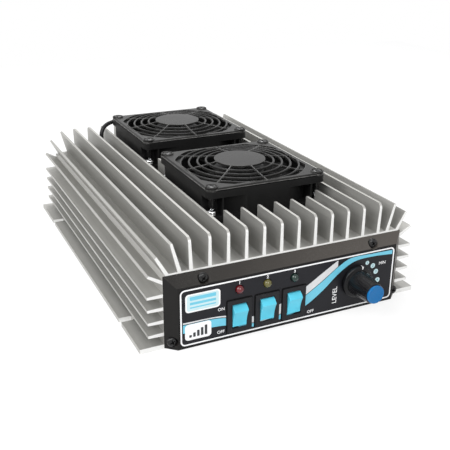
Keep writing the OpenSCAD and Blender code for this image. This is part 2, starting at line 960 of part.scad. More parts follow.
module knob_cap() {
    color("#1878c8")
        translate([knob_x, knob_front_y + cap_t, knob_z])
            facing_front() {
                translate([0, 0, -cap_plug_len])
                    cylinder(r = cap_plug_r, h = cap_plug_len + eps);
                cylinder(r = cap_r, h = cap_t - cap_bevel);
                translate([0, 0, cap_t - cap_bevel - eps])
                    cylinder(r1 = cap_r, r2 = cap_r - cap_bevel, h = cap_bevel + eps);
            }
}

// ---- Rear panel and sockets ----

module rear_panel() {
    color("#1b1b1d")
        difference() {
            translate([-wall_out, rear_y, panel_lift])
                cube([wall_span, rear_t, panel_top_z - panel_lift]);
            for (p = panel_screw_xz)
                translate([p[0], rear_y - 1, p[1]])
                    facing_rear()
                        cylinder(r = m3[0] + fit_gap, h = rear_t + 2);
            for (s = [-1, 1])
                translate([s * socket_x, rear_y - 1, socket_z])
                    facing_rear() {
                        cylinder(r = socket_body_r + fit_gap, h = rear_t + 2);
                        at_corners(socket_hole)
                            cylinder(r = m3_small[0] + run_gap, h = rear_t + 2);
                    }
            translate([0, rear_y - 1, gland_z])
                facing_rear()
                    cylinder(r = gland_r, h = rear_t + 2);
        }
}

module rear_panel_screws() {
    color("#141414")
        for (p = panel_screw_xz)
            translate([p[0], plate_y, p[1]])
                facing_rear()
                    pan_screw(m3, panel_screw_len);
}

// Square flange and barrel of one coaxial socket
module socket_shell(x) {
    color("#c3c5c7")
        translate([x, plate_y, socket_z])
            facing_rear()
                difference() {
                    union() {
                        linear_extrude(socket_base_t)
                            round_rect(socket_flange, socket_flange, 1.5);
                        translate([0, 0, -socket_body_d])
                            cylinder(r = socket_body_r, h = socket_body_d + eps);
                        translate([0, 0, socket_base_t - eps])
                            cylinder(r = socket_thread_r, h = socket_len + eps);
                    }
                    translate([0, 0, -socket_body_d - 1])
                        cylinder(r = insulator_r, h = socket_body_d + socket_base_t + socket_len + 2);
                    at_corners(socket_hole)
                        translate([0, 0, -1])
                            cylinder(r = m3_small[0] + fit_gap, h = socket_base_t + 2);
                }
}

module antenna_socket() {
    socket_shell(socket_x);
}

module radio_socket() {
    socket_shell(-socket_x);
}

module socket_insulators() {
    color("#e8e4d8")
        for (s = [-1, 1])
            translate([s * socket_x, plate_y - socket_body_d, socket_z])
                facing_rear()
                    difference() {
                        cylinder(r = insulator_r, h = socket_body_d + socket_base_t + 3);
                        translate([0, 0, -1])
                            cylinder(r = contact_r, h = socket_body_d + socket_base_t + 6);
                    }
}

module socket_contacts() {
    contact_end = socket_body_d + socket_base_t + socket_len - socket_lip - 3;
    color("#d8b45a")
        for (s = [-1, 1])
            translate([s * socket_x, plate_y - socket_body_d, socket_z])
                facing_rear()
                    difference() {
                        union() {
                            cylinder(r = contact_r, h = contact_end);
                            translate([0, 0, -contact_tail_len])
                                cylinder(r = contact_tail_r, h = contact_tail_len + eps);
                        }
                        translate([0, 0, contact_end - contact_len])
                            cylinder(r = contact_bore_r, h = contact_len + 1);
                    }
}

module socket_screws() {
    color("#9a9c9f")
        for (s = [-1, 1])
            translate([s * socket_x, plate_y + socket_base_t, socket_z])
                facing_rear()
                    at_corners(socket_hole)
                        pan_screw(m3_small, socket_screw_len);
}

// Rubber bush where the supply lead passes the rear panel
module supply_bush() {
    color("#101010")
        translate([0, rear_y, gland_z])
            facing_rear()
                difference() {
                    union() {
                        cylinder(r = gland_r, h = rear_t);
                        translate([0, 0, rear_t])
                            cylinder(r = gland_flange_r, h = gland_flange_t);
                        translate([0, 0, -gland_flange_t])
                            cylinder(r = gland_flange_r, h = gland_flange_t);
                    }
                    translate([0, 0, -gland_flange_t - 1])
                        cylinder(r = gland_bore_r, h = rear_t + 2 * gland_flange_t + 2);
                }
}

// ---- Circuit board ----

module circuit_board() {
    color("#23623f")
        difference() {
            translate([-board_w / 2, board_y - board_len / 2, board_low_z])
                cube([board_w, board_len, board_t]);
            for (p = board_hole_xy)
                translate([p[0], p[1], board_low_z - 1])
                    cylinder(r = m3_small[0] + fit_gap, h = board_t + 2);
            for (x = chip_xs)
                translate([x - chip_window[0] / 2, chip_y - chip_window[1] / 2, board_low_z - 1])
                    cube([chip_window[0], chip_window[1], board_t + 2]);
        }
}

module board_spacers() {
    color("#b9babb")
        for (p = board_hole_xy)
            translate([p[0], p[1], board_top_z])
                difference() {
                    cylinder(r = spacer_r, h = spacer_len);
                    translate([0, 0, -1])
                        cylinder(r = m3_small[0] + fit_gap, h = spacer_len + 2);
                }
}

// The small screws inside: under the circuit board, under the transistors, behind the lamp board
module inside_screws() {
    color("#8d8f92") {
        for (p = board_hole_xy)
            translate([p[0], p[1], board_low_z])
                rotate([180, 0, 0])
                    pan_screw(m3_small, board_t + spacer_len + 5);
        for (x = chip_hole_xs)
            translate([x, chip_y, ceiling_z - chip_flange[2]])
                rotate([180, 0, 0])
                    pan_screw(m3_small, chip_flange[2] + 5);
        for (s = [-1, 1])
            translate([s * lamp_post_x - switch_left, lamp_board_y + board_t, lamp_z])
                facing_rear()
                    pan_screw(m3_small, board_t + 4);
    }
}

// Flanged power transistors, bolted under the plate with their tabs on the board
module power_transistors() {
    tab_y = chip_body[1] / 2 - 0.5;
    color("#d9d4c8")
        for (x = chip_xs)
            translate([x, chip_y, ceiling_z])
                difference() {
                    union() {
                        translate([-chip_flange[0] / 2, -chip_flange[1] / 2, -chip_flange[2]])
                            cube(chip_flange);
                        translate([-chip_body[0] / 2, -chip_body[1] / 2, -chip_flange[2] - chip_body[2]])
                            cube([chip_body[0], chip_body[1], chip_body[2] + eps]);
                        for (a = [0, 180])
                            rotate([0, 0, a])
                                translate([-chip_tab[0] / 2, tab_y, -spacer_len])
                                    cube(chip_tab);
                    }
                    for (s = [-1, 1])
                        translate([s * chip_hole, 0, -2 * chip_flange[2]])
                            cylinder(r = m3_small[0] + fit_gap, h = 3 * chip_flange[2]);
                }
}

// A two-hole ferrite core lying along X, with its flat top at the origin
module ferrite_core(size) {
    end_r = size[2] / 2;
    half_y = size[1] / 2 - end_r;
    hole_r = end_r * 0.5;
    translate([-size[0] / 2, 0, -end_r])
        rotate([90, 0, 90])
            linear_extrude(size[0])
                difference() {
                    union() {
                        square([2 * half_y, 2 * end_r], center = true);
                        for (s = [-1, 1])
                            translate([s * half_y, 0])
                                circle(end_r);
                    }
                    for (s = [-1, 1])
                        translate([s * half_y, 0])
                            circle(hole_r);
                }
}

module input_transformer() {
    color("#3a3b3f")
        translate([0, input_y, board_low_z])
            ferrite_core(input_core);
}

module output_transformer() {
    color("#33343a")
        translate([0, output_y, board_low_z])
            ferrite_core(output_core);
}

module filter_coils() {
    color("#b8663a")
        for (i = [0 : coil_count - 1])
            translate([(i - (coil_count - 1) / 2) * coil_pitch - coil_len / 2, coil_y, board_low_z - coil_r])
                rotate([0, 90, 0])
                    difference() {
                        cylinder(r = coil_r, h = coil_len);
                        translate([0, 0, -1])
                            cylinder(r = coil_r - coil_wire_t, h = coil_len + 2);
                    }
}

module supply_choke() {
    color("#a5622f")
        translate([choke_xy[0], choke_xy[1], board_low_z - choke_h])
            difference() {
                cylinder(r = choke_r, h = choke_h);
                translate([0, 0, -1])
                    cylinder(r = choke_bore_r, h = choke_h + 2);
            }
}

module relays() {
    color("#e6e4dc")
        for (x = [-relay_x, relay_x])
            translate([x - relay[0] / 2, relay_y - relay[1] / 2, board_low_z - relay[2]])
                cube(relay);
}

module capacitors() {
    color("#27304a")
        for (p = can_xy)
            translate([p[0], p[1], board_low_z - can_h])
                cylinder(r = can_r, h = can_h);
}

// Block with two pockets that the blade fuses are pushed into from below
module fuse_holder() {
    block_w = fuse_pitch + fuse[0] + 2 * fuse_wall;
    block_d = fuse[1] + 2 * fuse_wall;
    block_h = fuse_seat + fuse_wall;
    color("#222222")
        difference() {
            translate([-block_w / 2, fuse_y - block_d / 2, board_low_z - block_h])
                cube([block_w, block_d, block_h]);
            for (s = [-1, 1])
                translate([s * fuse_pitch / 2, fuse_y, board_low_z - block_h])
                    cube([fuse[0], fuse[1], 2 * fuse_seat], center = true);
        }
}

module fuses() {
    color("#d03c2e")
        for (s = [-1, 1])
            translate([s * fuse_pitch / 2, fuse_y, board_low_z - fuse_wall - fuse[2] / 2])
                cube([fuse[0] - 2 * fit_gap, fuse[1] - 2 * fit_gap, fuse[2]], center = true);
}

// ---- Fans ----

// Frame of one fan: two square flanges, the duct between them, corner ribs, struts and motor boss
module fan_frame(y) {
    tube_top_z = hub_top_z - hub_wall - 1.4;
    rib_x = fan_size / 2 - rib_in;
    color("#161617")
        translate([fan_x, y, fan_z])
            difference() {
                union() {
                    difference() {
                        union() {
                            for (z = [0, fan_t - fan_flange_t])
                                translate([0, 0, z])
                                    linear_extrude(fan_flange_t)
                                        round_rect(fan_size, fan_size, fan_corner_r);
                            intersection() {
                                translate([0, 0, 1])
                                    cylinder(r = duct_out_r, h = fan_t - 2, $fn = 96);
                                translate([0, 0, fan_t / 2])
                                    cube([fan_size, fan_size, fan_t], center = true);
                            }
                            for (a = [0 : 90 : 270])
                                rotate([0, 0, a])
                                    for (s = [-1, 1])
                                        translate([s * rib_x - rib_t / 2, -fan_size / 2 + rib_set_back, 1])
                                            cube([rib_t, rib_in, fan_t - 2]);
                        }
                        translate([0, 0, -1])
                            cylinder(r = duct_r, h = fan_t + 2, $fn = 96);
                    }
                    cylinder(r = hub_r, h = boss_t);
                    for (a = [45 : 90 : 315])
                        rotate([0, 0, a])
                            translate([hub_r - 1, -strut_w / 2, 0])
                                cube([duct_r - hub_r + 2, strut_w, boss_t]);
                    cylinder(r = tube_r, h = tube_top_z - fan_z);
                }
                at_corners(fan_hole) {
                    translate([0, 0, -1])
                        cylinder(r = m3[0] + fit_gap, h = fan_flange_t + 2);
                    translate([0, 0, fan_t - fan_flange_t - 1])
                        cylinder(r = m4[0] + run_gap, h = fan_flange_t + 2);
                }
                translate([0, 0, boss_t])
                    cylinder(r = bearing_r, h = fan_t);
                translate([lead_route[0][0], lead_route[0][1], lead_route[0][2] - stub_h])
                    rotate([-90, 0, 0])
                        cylinder(r = lead_hole_r, h = fan_size / 2 - lead_route[0][1]);
            }
}

module fan_frame_front() {
    fan_frame(fan_ys[0]);
}

module fan_frame_rear() {
    fan_frame(fan_ys[1]);
}

// Height of the guard's domed surface above its border at radius r
function dome_rise(r) =
    guard_dome * max(0, 1 - pow((r - guard_disc_r) / (fan_size / 2 - guard_disc_r), dome_power));

// Finger guard: border with four screw bosses, domed rings and spokes, flat middle disc
module fan_guard(y) {
    opening = fan_size - 2 * guard_border;
    dome_reach = fan_size / 2 + guard_bulge + 1 - guard_disc_r;
    dome_rs = [for (i = [0 : dome_steps]) guard_disc_r - 0.5 + i * dome_reach / dome_steps];
    dome_top = [for (r = dome_rs) [r, guard_t + dome_rise(max(r, guard_disc_r))]];
    dome_low = [for (i = [dome_steps : -1 : 0]) [dome_rs[i], dome_top[i][1] - bar_t]];
    color("#1a1a1b")
        translate([fan_x, y, guard_low_z]) {
            difference() {
                union() {
                    linear_extrude(guard_t)
                        difference() {
                            round_rect(fan_size, fan_size, fan_corner_r);
                            intersection() {
                                circle(fan_size / 2 + guard_bulge, $fn = 96);
                                square(opening, center = true);
                            }
                        }
                    at_corners(fan_hole)
                        cylinder(r = guard_boss_r, h = guard_t + guard_boss_h);
                    intersection() {
                        rotate_extrude($fn = 96)
                            polygon(concat(dome_top, dome_low));
                        union()
                            for (i = [0 : guard_spokes / 2 - 1])
                                rotate([0, 0, i * 360 / guard_spokes])
                                    translate([-fan_size, -spoke_w / 2, 0])
                                        cube([2 * fan_size, spoke_w, 2 * fan_t]);
                        translate([-fan_size / 2 + 1, -fan_size / 2 + 1, 0])
                            cube([fan_size - 2, fan_size - 2, fan_t]);
                    }
                }
                at_corners(fan_hole) {
                    translate([0, 0, guard_seat_t])
                        cylinder(r = m4[1] + fit_gap, h = guard_t + guard_boss_h);
                    translate([0, 0, -1])
                        cylinder(r = m4[0] + fit_gap, h = guard_t + 2);
                }
            }
            intersection() {
                for (i = [0 : guard_rings - 1]) {
                    r = guard_ring_r + i * guard_ring_step;
                    translate([0, 0, guard_t + dome_rise(r) - bar_t - ring_lip])
                        difference() {
                            cylinder(r = r + guard_ring_w / 2, h = bar_t + 2 * ring_lip, $fn = 96);
                            translate([0, 0, -1])
                                cylinder(r = r - guard_ring_w / 2, h = bar_t + 2, $fn = 96);
                        }
                }
                translate([-opening / 2 - 1, -opening / 2 - 1, 0])
                    cube([opening + 2, opening + 2, fan_t]);
            }
            translate([0, 0, guard_t + guard_dome - bar_t])
                cylinder(r = guard_disc_r, h = bar_t, $fn = 96);
        }
}

module fan_guard_front() {
    fan_guard(fan_ys[0]);
}

module fan_guard_rear() {
    fan_guard(fan_ys[1]);
}

module guard_screws() {
    color("#0f0f10")
        for (y = fan_ys)
            translate([fan_x, y, guard_low_z + guard_seat_t])
                at_corners(fan_hole)
                    pan_screw(m4, guard_screw_len);
}

module fan_screws() {
    color("#d4d6d8")
        for (y = fan_ys)
            translate([fan_x, y, fan_z + fan_flange_t + washer_t])
                at_corners(fan_hole)
                    pan_screw(m3, fan_screw_len);
}

module fan_washers() {
    color("#b9bbbd")
        for (y = fan_ys)
            translate([fan_x, y, fan_z + fan_flange_t])
                at_corners(fan_hole)
                    difference() {
                        cylinder(r = m3[1], h = washer_t);
                        translate([0, 0, -1])
                            cylinder(r = m3[0] + fit_gap, h = washer_t + 2);
                    }
}

module fan_bearings() {
    color("#c2a25c")
        for (y = fan_ys)
            translate([fan_x, y, fan_z + boss_t])
                difference() {
                    cylinder(r = bearing_r, h = bearing_len);
                    translate([0, 0, -1])
                        cylinder(r = fan_shaft_r + run_gap, h = bearing_len + 2);
                }
}

module fan_windings() {
    winding_r = hub_r - hub_wall - magnet_t - winding_gap;
    color("#a8552c")
        for (y = fan_ys)
            translate([fan_x, y, fan_z + boss_t])
                difference() {
                    cylinder(r = winding_r, h = magnet_h);
                    translate([0, 0, -1])
                        cylinder(r = tube_r + run_gap, h = magnet_h + 2);
                }
}

// Hub and blades of one fan
module fan_rotor(y) {
    blade_r = duct_r - blade_gap;
    blade_mid_z = (blade_low_z + blade_high_z) / 2;
    color("#1c1c1d")
        translate([fan_x, y, 0])
            difference() {
                union() {
                    translate([0, 0, hub_low_z])
                        cylinder(r = hub_r, h = hub_top_z - hub_low_z);
                    intersection() {
                        translate([0, 0, blade_low_z])
                            difference() {
                                cylinder(r = blade_r, h = blade_high_z - blade_low_z, $fn = 96);
                                translate([0, 0, -1])
                                    cylinder(r = hub_r - 0.5, h = fan_t);
                            }
                        for (i = [0 : blade_count - 1])
                            rotate([0, 0, i * 360 / blade_count])
                                translate([hub_r - 1, 0, blade_mid_z])
                                    rotate([blade_pitch, 0, 0])
                                        translate([0, -fan_t, -blade_t / 2])
                                            cube([blade_r, 2 * fan_t, blade_t]);
                    }
                }
                translate([0, 0, hub_low_z - 1])
                    cylinder(r = hub_r - hub_wall, h = hub_top_z - hub_wall - hub_low_z + 1);
            }
}

module fan_rotor_front() {
    fan_rotor(fan_ys[0]);
}

module fan_rotor_rear() {
    fan_rotor(fan_ys[1]);
}

module fan_shaft(y) {
    low_z = fan_z + boss_t + 0.4;
    color("#c8c9ca")
        translate([fan_x, y, low_z])
            cylinder(r = fan_shaft_r, h = hub_top_z - hub_wall - low_z);
}

module fan_shaft_front() {
    fan_shaft(fan_ys[0]);
}

module fan_shaft_rear() {
    fan_shaft(fan_ys[1]);
}

module fan_magnets(y) {
    out_r = hub_r - hub_wall;
    color("#4a4b50")
        translate([fan_x, y, hub_low_z + 0.4])
            difference() {
                cylinder(r = out_r, h = magnet_h);
                translate([0, 0, -1])
                    cylinder(r = out_r - magnet_t, h = magnet_h + 2);
            }
}

module fan_magnets_front() {
    fan_magnets(fan_ys[0]);
}

module fan_magnets_rear() {
    fan_magnets(fan_ys[1]);
}

// Points of one ring of the lead's surface, square to the way it runs
function unit(v) = v / norm(v);
function lead_dir(i) =
    unit(lead_route[min(i + 1, len(lead_route) - 1)] - lead_route[max(i - 1, 0)]);
function lead_ring(i) =
    let (along = lead_dir(i), side = unit(cross(along, [1, 1, 0])), up = cross(along, side))
        [
            for (k = [0 : lead_sides - 1])
                let (a = 360 * k / lead_sides)
                    lead_route[i] + lead_d / 2 * (cos(a) * side + sin(a) * up)
        ];

module fan_lead() {
    rings = len(lead_route);
    points = [for (i = [0 : rings - 1]) each lead_ring(i)];
    first_cap = [for (k = [0 : lead_sides - 1]) k];
    last_cap = [for (k = [lead_sides - 1 : -1 : 0]) (rings - 1) * lead_sides + k];
    skin = [
        for (i = [0 : rings - 2])
            for (k = [0 : lead_sides - 1])
                let (n = (k + 1) % lead_sides, low = i * lead_sides, high = low + lead_sides)
                    each [[low + n, low + k, high + k], [low + n, high + k, high + n]]
    ];
    color("#121213")
        translate([fan_x, fan_ys[1], deck_z])
            polyhedron(points, concat([first_cap, last_cap], skin), convexity = 6);
}

// Rubber ring that guides the fan lead through the heatsink's plate
module lead_grommet() {
    color("#0e0e0f")
        translate([grommet_x, grommet_y, ceiling_z])
            difference() {
                union() {
                    cylinder(r = grommet_r, h = deck_t);
                    for (z = [-grommet_flange_t, deck_t])
                        translate([0, 0, z])
                            cylinder(r = grommet_flange_r, h = grommet_flange_t);
                }
                translate([0, 0, -deck_t])
                    cylinder(r = lead_hole_r, h = 3 * deck_t);
            }
}

heatsink();
bottom_cover();
cover_screws_set();
front_panel();
front_label();
front_panel_screws();
lamp_red();
lamp_yellow();
lamp_green();
lamp_board();
switch_body_left();
switch_body_middle();
switch_body_right();
switch_terminals();
rocker_left();
rocker_middle();
rocker_right();
dial_switch();
dial_nut();
dial_shaft();
knob();
knob_cap();
rear_panel();
rear_panel_screws();
antenna_socket();
radio_socket();
socket_insulators();
socket_contacts();
socket_screws();
supply_bush();
circuit_board();
board_spacers();
inside_screws();
power_transistors();
input_transformer();
output_transformer();
filter_coils();
supply_choke();
relays();
capacitors();
fuse_holder();
fuses();
fan_frame_front();
fan_frame_rear();
fan_guard_front();
fan_guard_rear();
guard_screws();
fan_screws();
fan_washers();
fan_bearings();
fan_windings();
fan_rotor_front();
fan_rotor_rear();
fan_shaft_front();
fan_shaft_rear();
fan_magnets_front();
fan_magnets_rear();
fan_lead();
lead_grommet();
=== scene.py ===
import json
import math

import bmesh
import bpy
from mathutils import Matrix, Vector


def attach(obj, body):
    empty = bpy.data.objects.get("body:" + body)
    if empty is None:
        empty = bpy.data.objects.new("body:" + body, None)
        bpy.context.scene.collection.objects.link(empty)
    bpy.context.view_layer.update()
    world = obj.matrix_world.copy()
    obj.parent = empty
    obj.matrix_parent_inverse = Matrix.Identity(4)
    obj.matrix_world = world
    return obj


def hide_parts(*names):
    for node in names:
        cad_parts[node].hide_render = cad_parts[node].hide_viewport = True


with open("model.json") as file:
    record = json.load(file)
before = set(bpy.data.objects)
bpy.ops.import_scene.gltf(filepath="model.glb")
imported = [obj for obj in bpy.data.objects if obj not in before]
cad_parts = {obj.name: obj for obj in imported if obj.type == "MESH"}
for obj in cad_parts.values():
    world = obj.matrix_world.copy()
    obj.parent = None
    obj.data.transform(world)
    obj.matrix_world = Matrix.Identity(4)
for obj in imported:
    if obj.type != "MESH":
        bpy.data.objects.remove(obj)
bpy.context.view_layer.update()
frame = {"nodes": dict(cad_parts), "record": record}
nodes = frame["nodes"]
scene = bpy.context.scene
MM = 0.001

# Where things lie, in millimetres, in the frame of the solids
DECK_Z = 45
FAN_X = 5.5
FAN_YS = {"front": -43.5, "rear": 64.5}
FAN_HOLE = 35.75
FAN_LOW_Z = DECK_Z + 7
FAN_THICK = 20
FAN_SCREW_Z = FAN_LOW_Z + 5.4
GUARD_LOW_Z = FAN_LOW_Z + FAN_THICK
GUARD_SCREW_Z = GUARD_LOW_Z + 1
PANEL_SEAT_Y = -122
REAR_FACE_Y = 122.5
PANEL_SCREWS = [(-73.5, 5.2), (-55, 40.3), (55, 40.3), (73.5, 5.2)]
SOCKET_SPOTS = {"antenna": (48, REAR_FACE_Y, 22), "radio": (-48, REAR_FACE_Y, 22)}
SWITCH_XS = {"left": -34.4, "middle": -17.0, "right": 0.4}
SWITCH_Z = 14.2
KNOB_SPOT = (42.4, -126.4, 19.8)
LABEL_Y = -125.8

# Screws: shank radius, head radius, head height
M3 = (1.5, 2.9, 2.2)
M3_SMALL = (1.25, 2.3, 1.6)
M4 = (1.9, 3.0, 1.6)


# ---- Camera ----

def make_camera():
    """The camera stands in front of the left corner, above the fins."""
    right = Vector((0.90485, -0.42567, 0.00688))
    up = Vector((0.15806, 0.35090, 0.92298))
    back = Vector((-0.39530, -0.83407, 0.38479))
    turn = Matrix((right, up, back)).transposed()
    bpy.ops.object.camera_add(location=(-0.19342, -0.44207, 0.21583))
    camera = bpy.context.active_object
    camera.rotation_mode = "QUATERNION"
    camera.rotation_quaternion = turn.to_quaternion()
    camera.data.sensor_width = 36
    camera.data.lens = 58.09
    camera.data.clip_start = 0.01
    scene.camera = camera


# ---- Hand tools ----

def deselect():
    """An operator acts on all that is selected, so a new piece starts from nothing selected."""
    bpy.ops.object.select_all(action="DESELECT")


def take(*pieces):
    """Selects these pieces alone; the first one is active."""
    deselect()
    for piece in pieces:
        piece.select_set(True)
    bpy.context.view_layer.objects.active = pieces[0]


def edit(piece, kind="FACE"):
    """Opens the piece in edit mode with all of it selected."""
    take(piece)
    bpy.ops.object.mode_set(mode="EDIT")
    bpy.ops.mesh.select_mode(type=kind)
    bpy.ops.mesh.select_all(action="SELECT")


def leave():
    bpy.ops.object.mode_set(mode="OBJECT")


def pick_faces(piece, wanted):
    """In edit mode, selects the faces whose middle and normal pass the test."""
    sheet = bmesh.from_edit_mesh(piece.data)
    for face in sheet.faces:
        face.select_set(bool(wanted(face.calc_center_median() / MM, face.normal)))
    sheet.select_flush_mode()
    bmesh.update_edit_mesh(piece.data)


def apply_modifier(piece, kind, **settings):
    """Adds a modifier with these settings and applies it."""
    take(piece)
    modifier = piece.modifiers.new(kind.lower(), kind)
    for key, value in settings.items():
        setattr(modifier, key, value)
    bpy.ops.object.modifier_apply(modifier=modifier.name)


def round_edges(piece, width, segments=2, angle=30):
    """Rounds the edges that are sharper than the angle, in degrees."""
    apply_modifier(
        piece, "BEVEL", width=width * MM, segments=segments, limit_method="ANGLE",
        angle_limit=math.radians(angle), use_clamp_overlap=True,
    )


def smooth(piece, angle=35, weighted=True):
    """Shades the piece smoothly but for its edges sharper than the angle."""
    take(piece)
    bpy.ops.object.shade_smooth_by_angle(angle=math.radians(angle))
    if weighted:
        apply_modifier(piece, "WEIGHTED_NORMAL", keep_sharp=True)


def settle(piece):
    """Puts the piece's place into its mesh."""
    take(piece)
    bpy.ops.object.transform_apply(location=True, rotation=True, scale=True)


TURNS = {"up": 0, "front": 90, "rear": -90}


def place(piece, spot, facing="up", turn=0):
    """Drawn upwards at the origin, the piece is turned about its own axis, faced and moved."""
    face = Matrix.Rotation(math.radians(TURNS[facing]), 4, "X")
    spin = Matrix.Rotation(math.radians(turn), 4, "Z")
    piece.matrix_world = Matrix.Translation(Vector(spot) * MM) @ face @ spin
    settle(piece)
    return piece


def copy_of(piece, name):
    """A copy with a mesh of its own."""
    twin = bpy.data.objects.new(name, piece.data.copy())
    scene.collection.objects.link(twin)
    return twin


def repeat(piece, spots, facing="up", turns=None):
    """One piece at each spot, joined into one object that keeps the first piece's name."""
    turns = turns or [0] * len(spots)
    extra = [copy_of(piece, f"{piece.name}_{i}") for i in range(1, len(spots))]
    for each, spot, turn in zip([piece] + extra, spots, turns):
        place(each, spot, facing, turn)
    return join(piece, *extra)


def join(piece, *others):
    """Joins the others into the piece, which keeps its name."""
    if others:
        take(piece, *others)
        bpy.ops.object.join()
    return piece


def cut(piece, cutter):
    """Takes the cutter's shape out of the piece."""
    apply_modifier(piece, "BOOLEAN", operation="DIFFERENCE", solver="EXACT", object=cutter)
    bpy.data.objects.remove(cutter)


def lathe(name, outline, steps):
    """Turns an outline of (radius, height) points round Z.

    A closed outline repeats its first point.
    """
    deselect()
    bpy.ops.mesh.primitive_plane_add(size=MM)
    piece = bpy.context.active_object
    piece.name = piece.data.name = name
    edit(piece, "VERT")
    bpy.ops.mesh.merge(type="CENTER")
    bpy.ops.transform.translate(value=(outline[0][0] * MM, 0, outline[0][1] * MM))
    for start, end in zip(outline, outline[1:]):
        step = ((end[0] - start[0]) * MM, 0, (end[1] - start[1]) * MM)
        bpy.ops.mesh.extrude_region_move(TRANSFORM_OT_translate={"value": step})
    bpy.ops.mesh.select_all(action="SELECT")
    bpy.ops.mesh.spin(steps=steps, angle=2 * math.pi, center=(0, 0, 0), axis=(0, 0, 1))
    tidy_mesh()
    leave()
    return piece


def tidy_mesh():
    """In edit mode, merges doubled points and turns all faces outwards."""
    bpy.ops.mesh.select_all(action="SELECT")
    bpy.ops.mesh.remove_doubles(threshold=1e-6)
    bpy.ops.mesh.normals_make_consistent(inside=False)


def mesh_of(name, curve):
    """The curve as a mesh object."""
    piece = bpy.data.objects.new(name, curve)
    scene.collection.objects.link(piece)
    take(piece)
    bpy.ops.object.convert(target="MESH")
    return bpy.context.active_object


def flat_shape(name, outlines, thick):
    """A flat plate of that thickness, standing on Z 0. Outlines after the first are its holes."""
    data = bpy.data.curves.new(name, "CURVE")
    data.dimensions = "2D"
    data.fill_mode = "BOTH"
    data.extrude = thick * MM / 2
    for outline in outlines:
        spline = data.splines.new("POLY")
        spline.points.add(len(outline) - 1)
        for point, (x, y) in zip(spline.points, outline):
            point.co = (x * MM, y * MM, 0, 1)
        spline.use_cyclic_u = True
    piece = mesh_of(name, data)
    piece.location.z = thick * MM / 2
    settle(piece)
    edit(piece)
    tidy_mesh()
    bpy.ops.mesh.dissolve_limited(angle_limit=math.radians(0.2))
    leave()
    return piece


def block(name, size, spot=(0, 0, 0)):
    """A box of that size, its middle at the spot."""
    deselect()
    bpy.ops.mesh.primitive_cube_add(size=1)
    piece = bpy.context.active_object
    piece.name = piece.data.name = name
    piece.scale = Vector(size) * MM
    piece.location = Vector(spot) * MM
    settle(piece)
    return piece


def arc(middle, radius, start, end, count):
    """Points along an arc between two angles in degrees."""
    angles = [math.radians(start + (end - start) * i / count) for i in range(count + 1)]
    return [(middle[0] + radius * math.cos(a), middle[1] + radius * math.sin(a)) for a in angles]


def circle(middle, radius, count=24):
    """Outline of a circle."""
    return arc(middle, radius, 0, 360 - 360 / count, count - 1)


def rounded(width, height, radius, middle=(0, 0), count=6):
    """Outline of a rectangle with round corners."""
    x, y = width / 2 - radius, height / 2 - radius
    outline = []
    for sx, sy, start in ((1, 1, 0), (-1, 1, 90), (-1, -1, 180), (1, -1, 270)):
        corner = (middle[0] + sx * x, middle[1] + sy * y)
        outline += arc(corner, radius, start, start + 90, count)
    return outline


def soften(node, width):
    """A copy of a solid with its edges rounded, as a moulded or deburred piece has them.

    With no width, its edges stay sharp.
    """
    same_point, same_plane = 2e-6, 0.3
    piece = copy_of(nodes[node], node.replace("_body", "") + "_finished")
    edit(piece)
    bpy.ops.mesh.remove_doubles(threshold=same_point)
    bpy.ops.mesh.dissolve_limited(angle_limit=math.radians(same_plane))
    leave()
    if width:
        round_edges(piece, width)
    smooth(piece)
    return piece


def fit(piece, body, finish, *stands_for):
    """The piece gets its finish, rides on its body and stands for its solids."""
    piece.data.materials.clear()
    piece.data.materials.append(FINISHES[finish])
    for face in piece.data.polygons:
        face.material_index = 0
    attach(piece, body)
    if stands_for:
        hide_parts(*stands_for)


# ---- Node trees ----

class Bench:
    """Lays nodes in a tree and joins them."""

    def __init__(self, tree):
        self.tree = tree

    def add(self, kind, inputs=None, **settings):
        """A node with these settings; an input is a value or another node's output."""
        node = self.tree.nodes.new(kind)
        for key, value in settings.items():
            setattr(node, key, value)
        for key, value in (inputs or {}).items():
            if isinstance(value, bpy.types.NodeSocket):
                self.tree.links.new(value, node.inputs[key])
            else:
                node.inputs[key].default_value = value
        return node

    def math(self, operation, a, b=0.0):
        return self.add("ShaderNodeMath", {0: a, 1: b}, operation=operation).outputs[0]

    def scale(self, vector, by):
        node = self.add("ShaderNodeVectorMath", {0: vector, 1: by}, operation="MULTIPLY")
        return node.outputs[0]

    def noise(self, vector, scale, detail=3.0, rough=0.55):
        node = self.add("ShaderNodeTexNoise", {
            "Vector": vector, "Scale": scale, "Detail": detail, "Roughness": rough,
        })
        return node.outputs["Fac"]

    def spread(self, value, low, high, to_low=0.0, to_high=1.0):
        """Maps low and high to two other values, and holds what lies outside them."""
        node = self.add("ShaderNodeMapRange", {
            "Value": value, "From Min": low, "From Max": high, "To Min": to_low, "To Max": to_high,
        })
        return node.outputs["Result"]

    def mix(self, mask, a, b):
        """Colour a where the mask is 0, colour b where it is 1."""
        node = self.add("ShaderNodeMix", {"Factor": mask}, data_type="RGBA")
        for key, value in ((6, a), (7, b)):
            if isinstance(value, bpy.types.NodeSocket):
                self.tree.links.new(value, node.inputs[key])
            else:
                node.inputs[key].default_value = (*value, 1)
        return node.outputs[2]

    def place(self):
        return self.add("ShaderNodeTexCoord").outputs["Object"]


def new_group(name, inputs, outputs):
    """An empty effect with named inputs and outputs."""
    tree = bpy.data.node_groups.new(name, "ShaderNodeTree")
    for label, kind, value in inputs:
        socket = tree.interface.new_socket(
            name=label, in_out="INPUT", socket_type="NodeSocket" + kind)
        socket.default_value = value
    for label in outputs:
        tree.interface.new_socket(name=label, in_out="OUTPUT", socket_type="NodeSocketFloat")
    bench = Bench(tree)
    start = bench.add("NodeGroupInput")
    end = bench.add("NodeGroupOutput")
    return bench, start.outputs, end.inputs


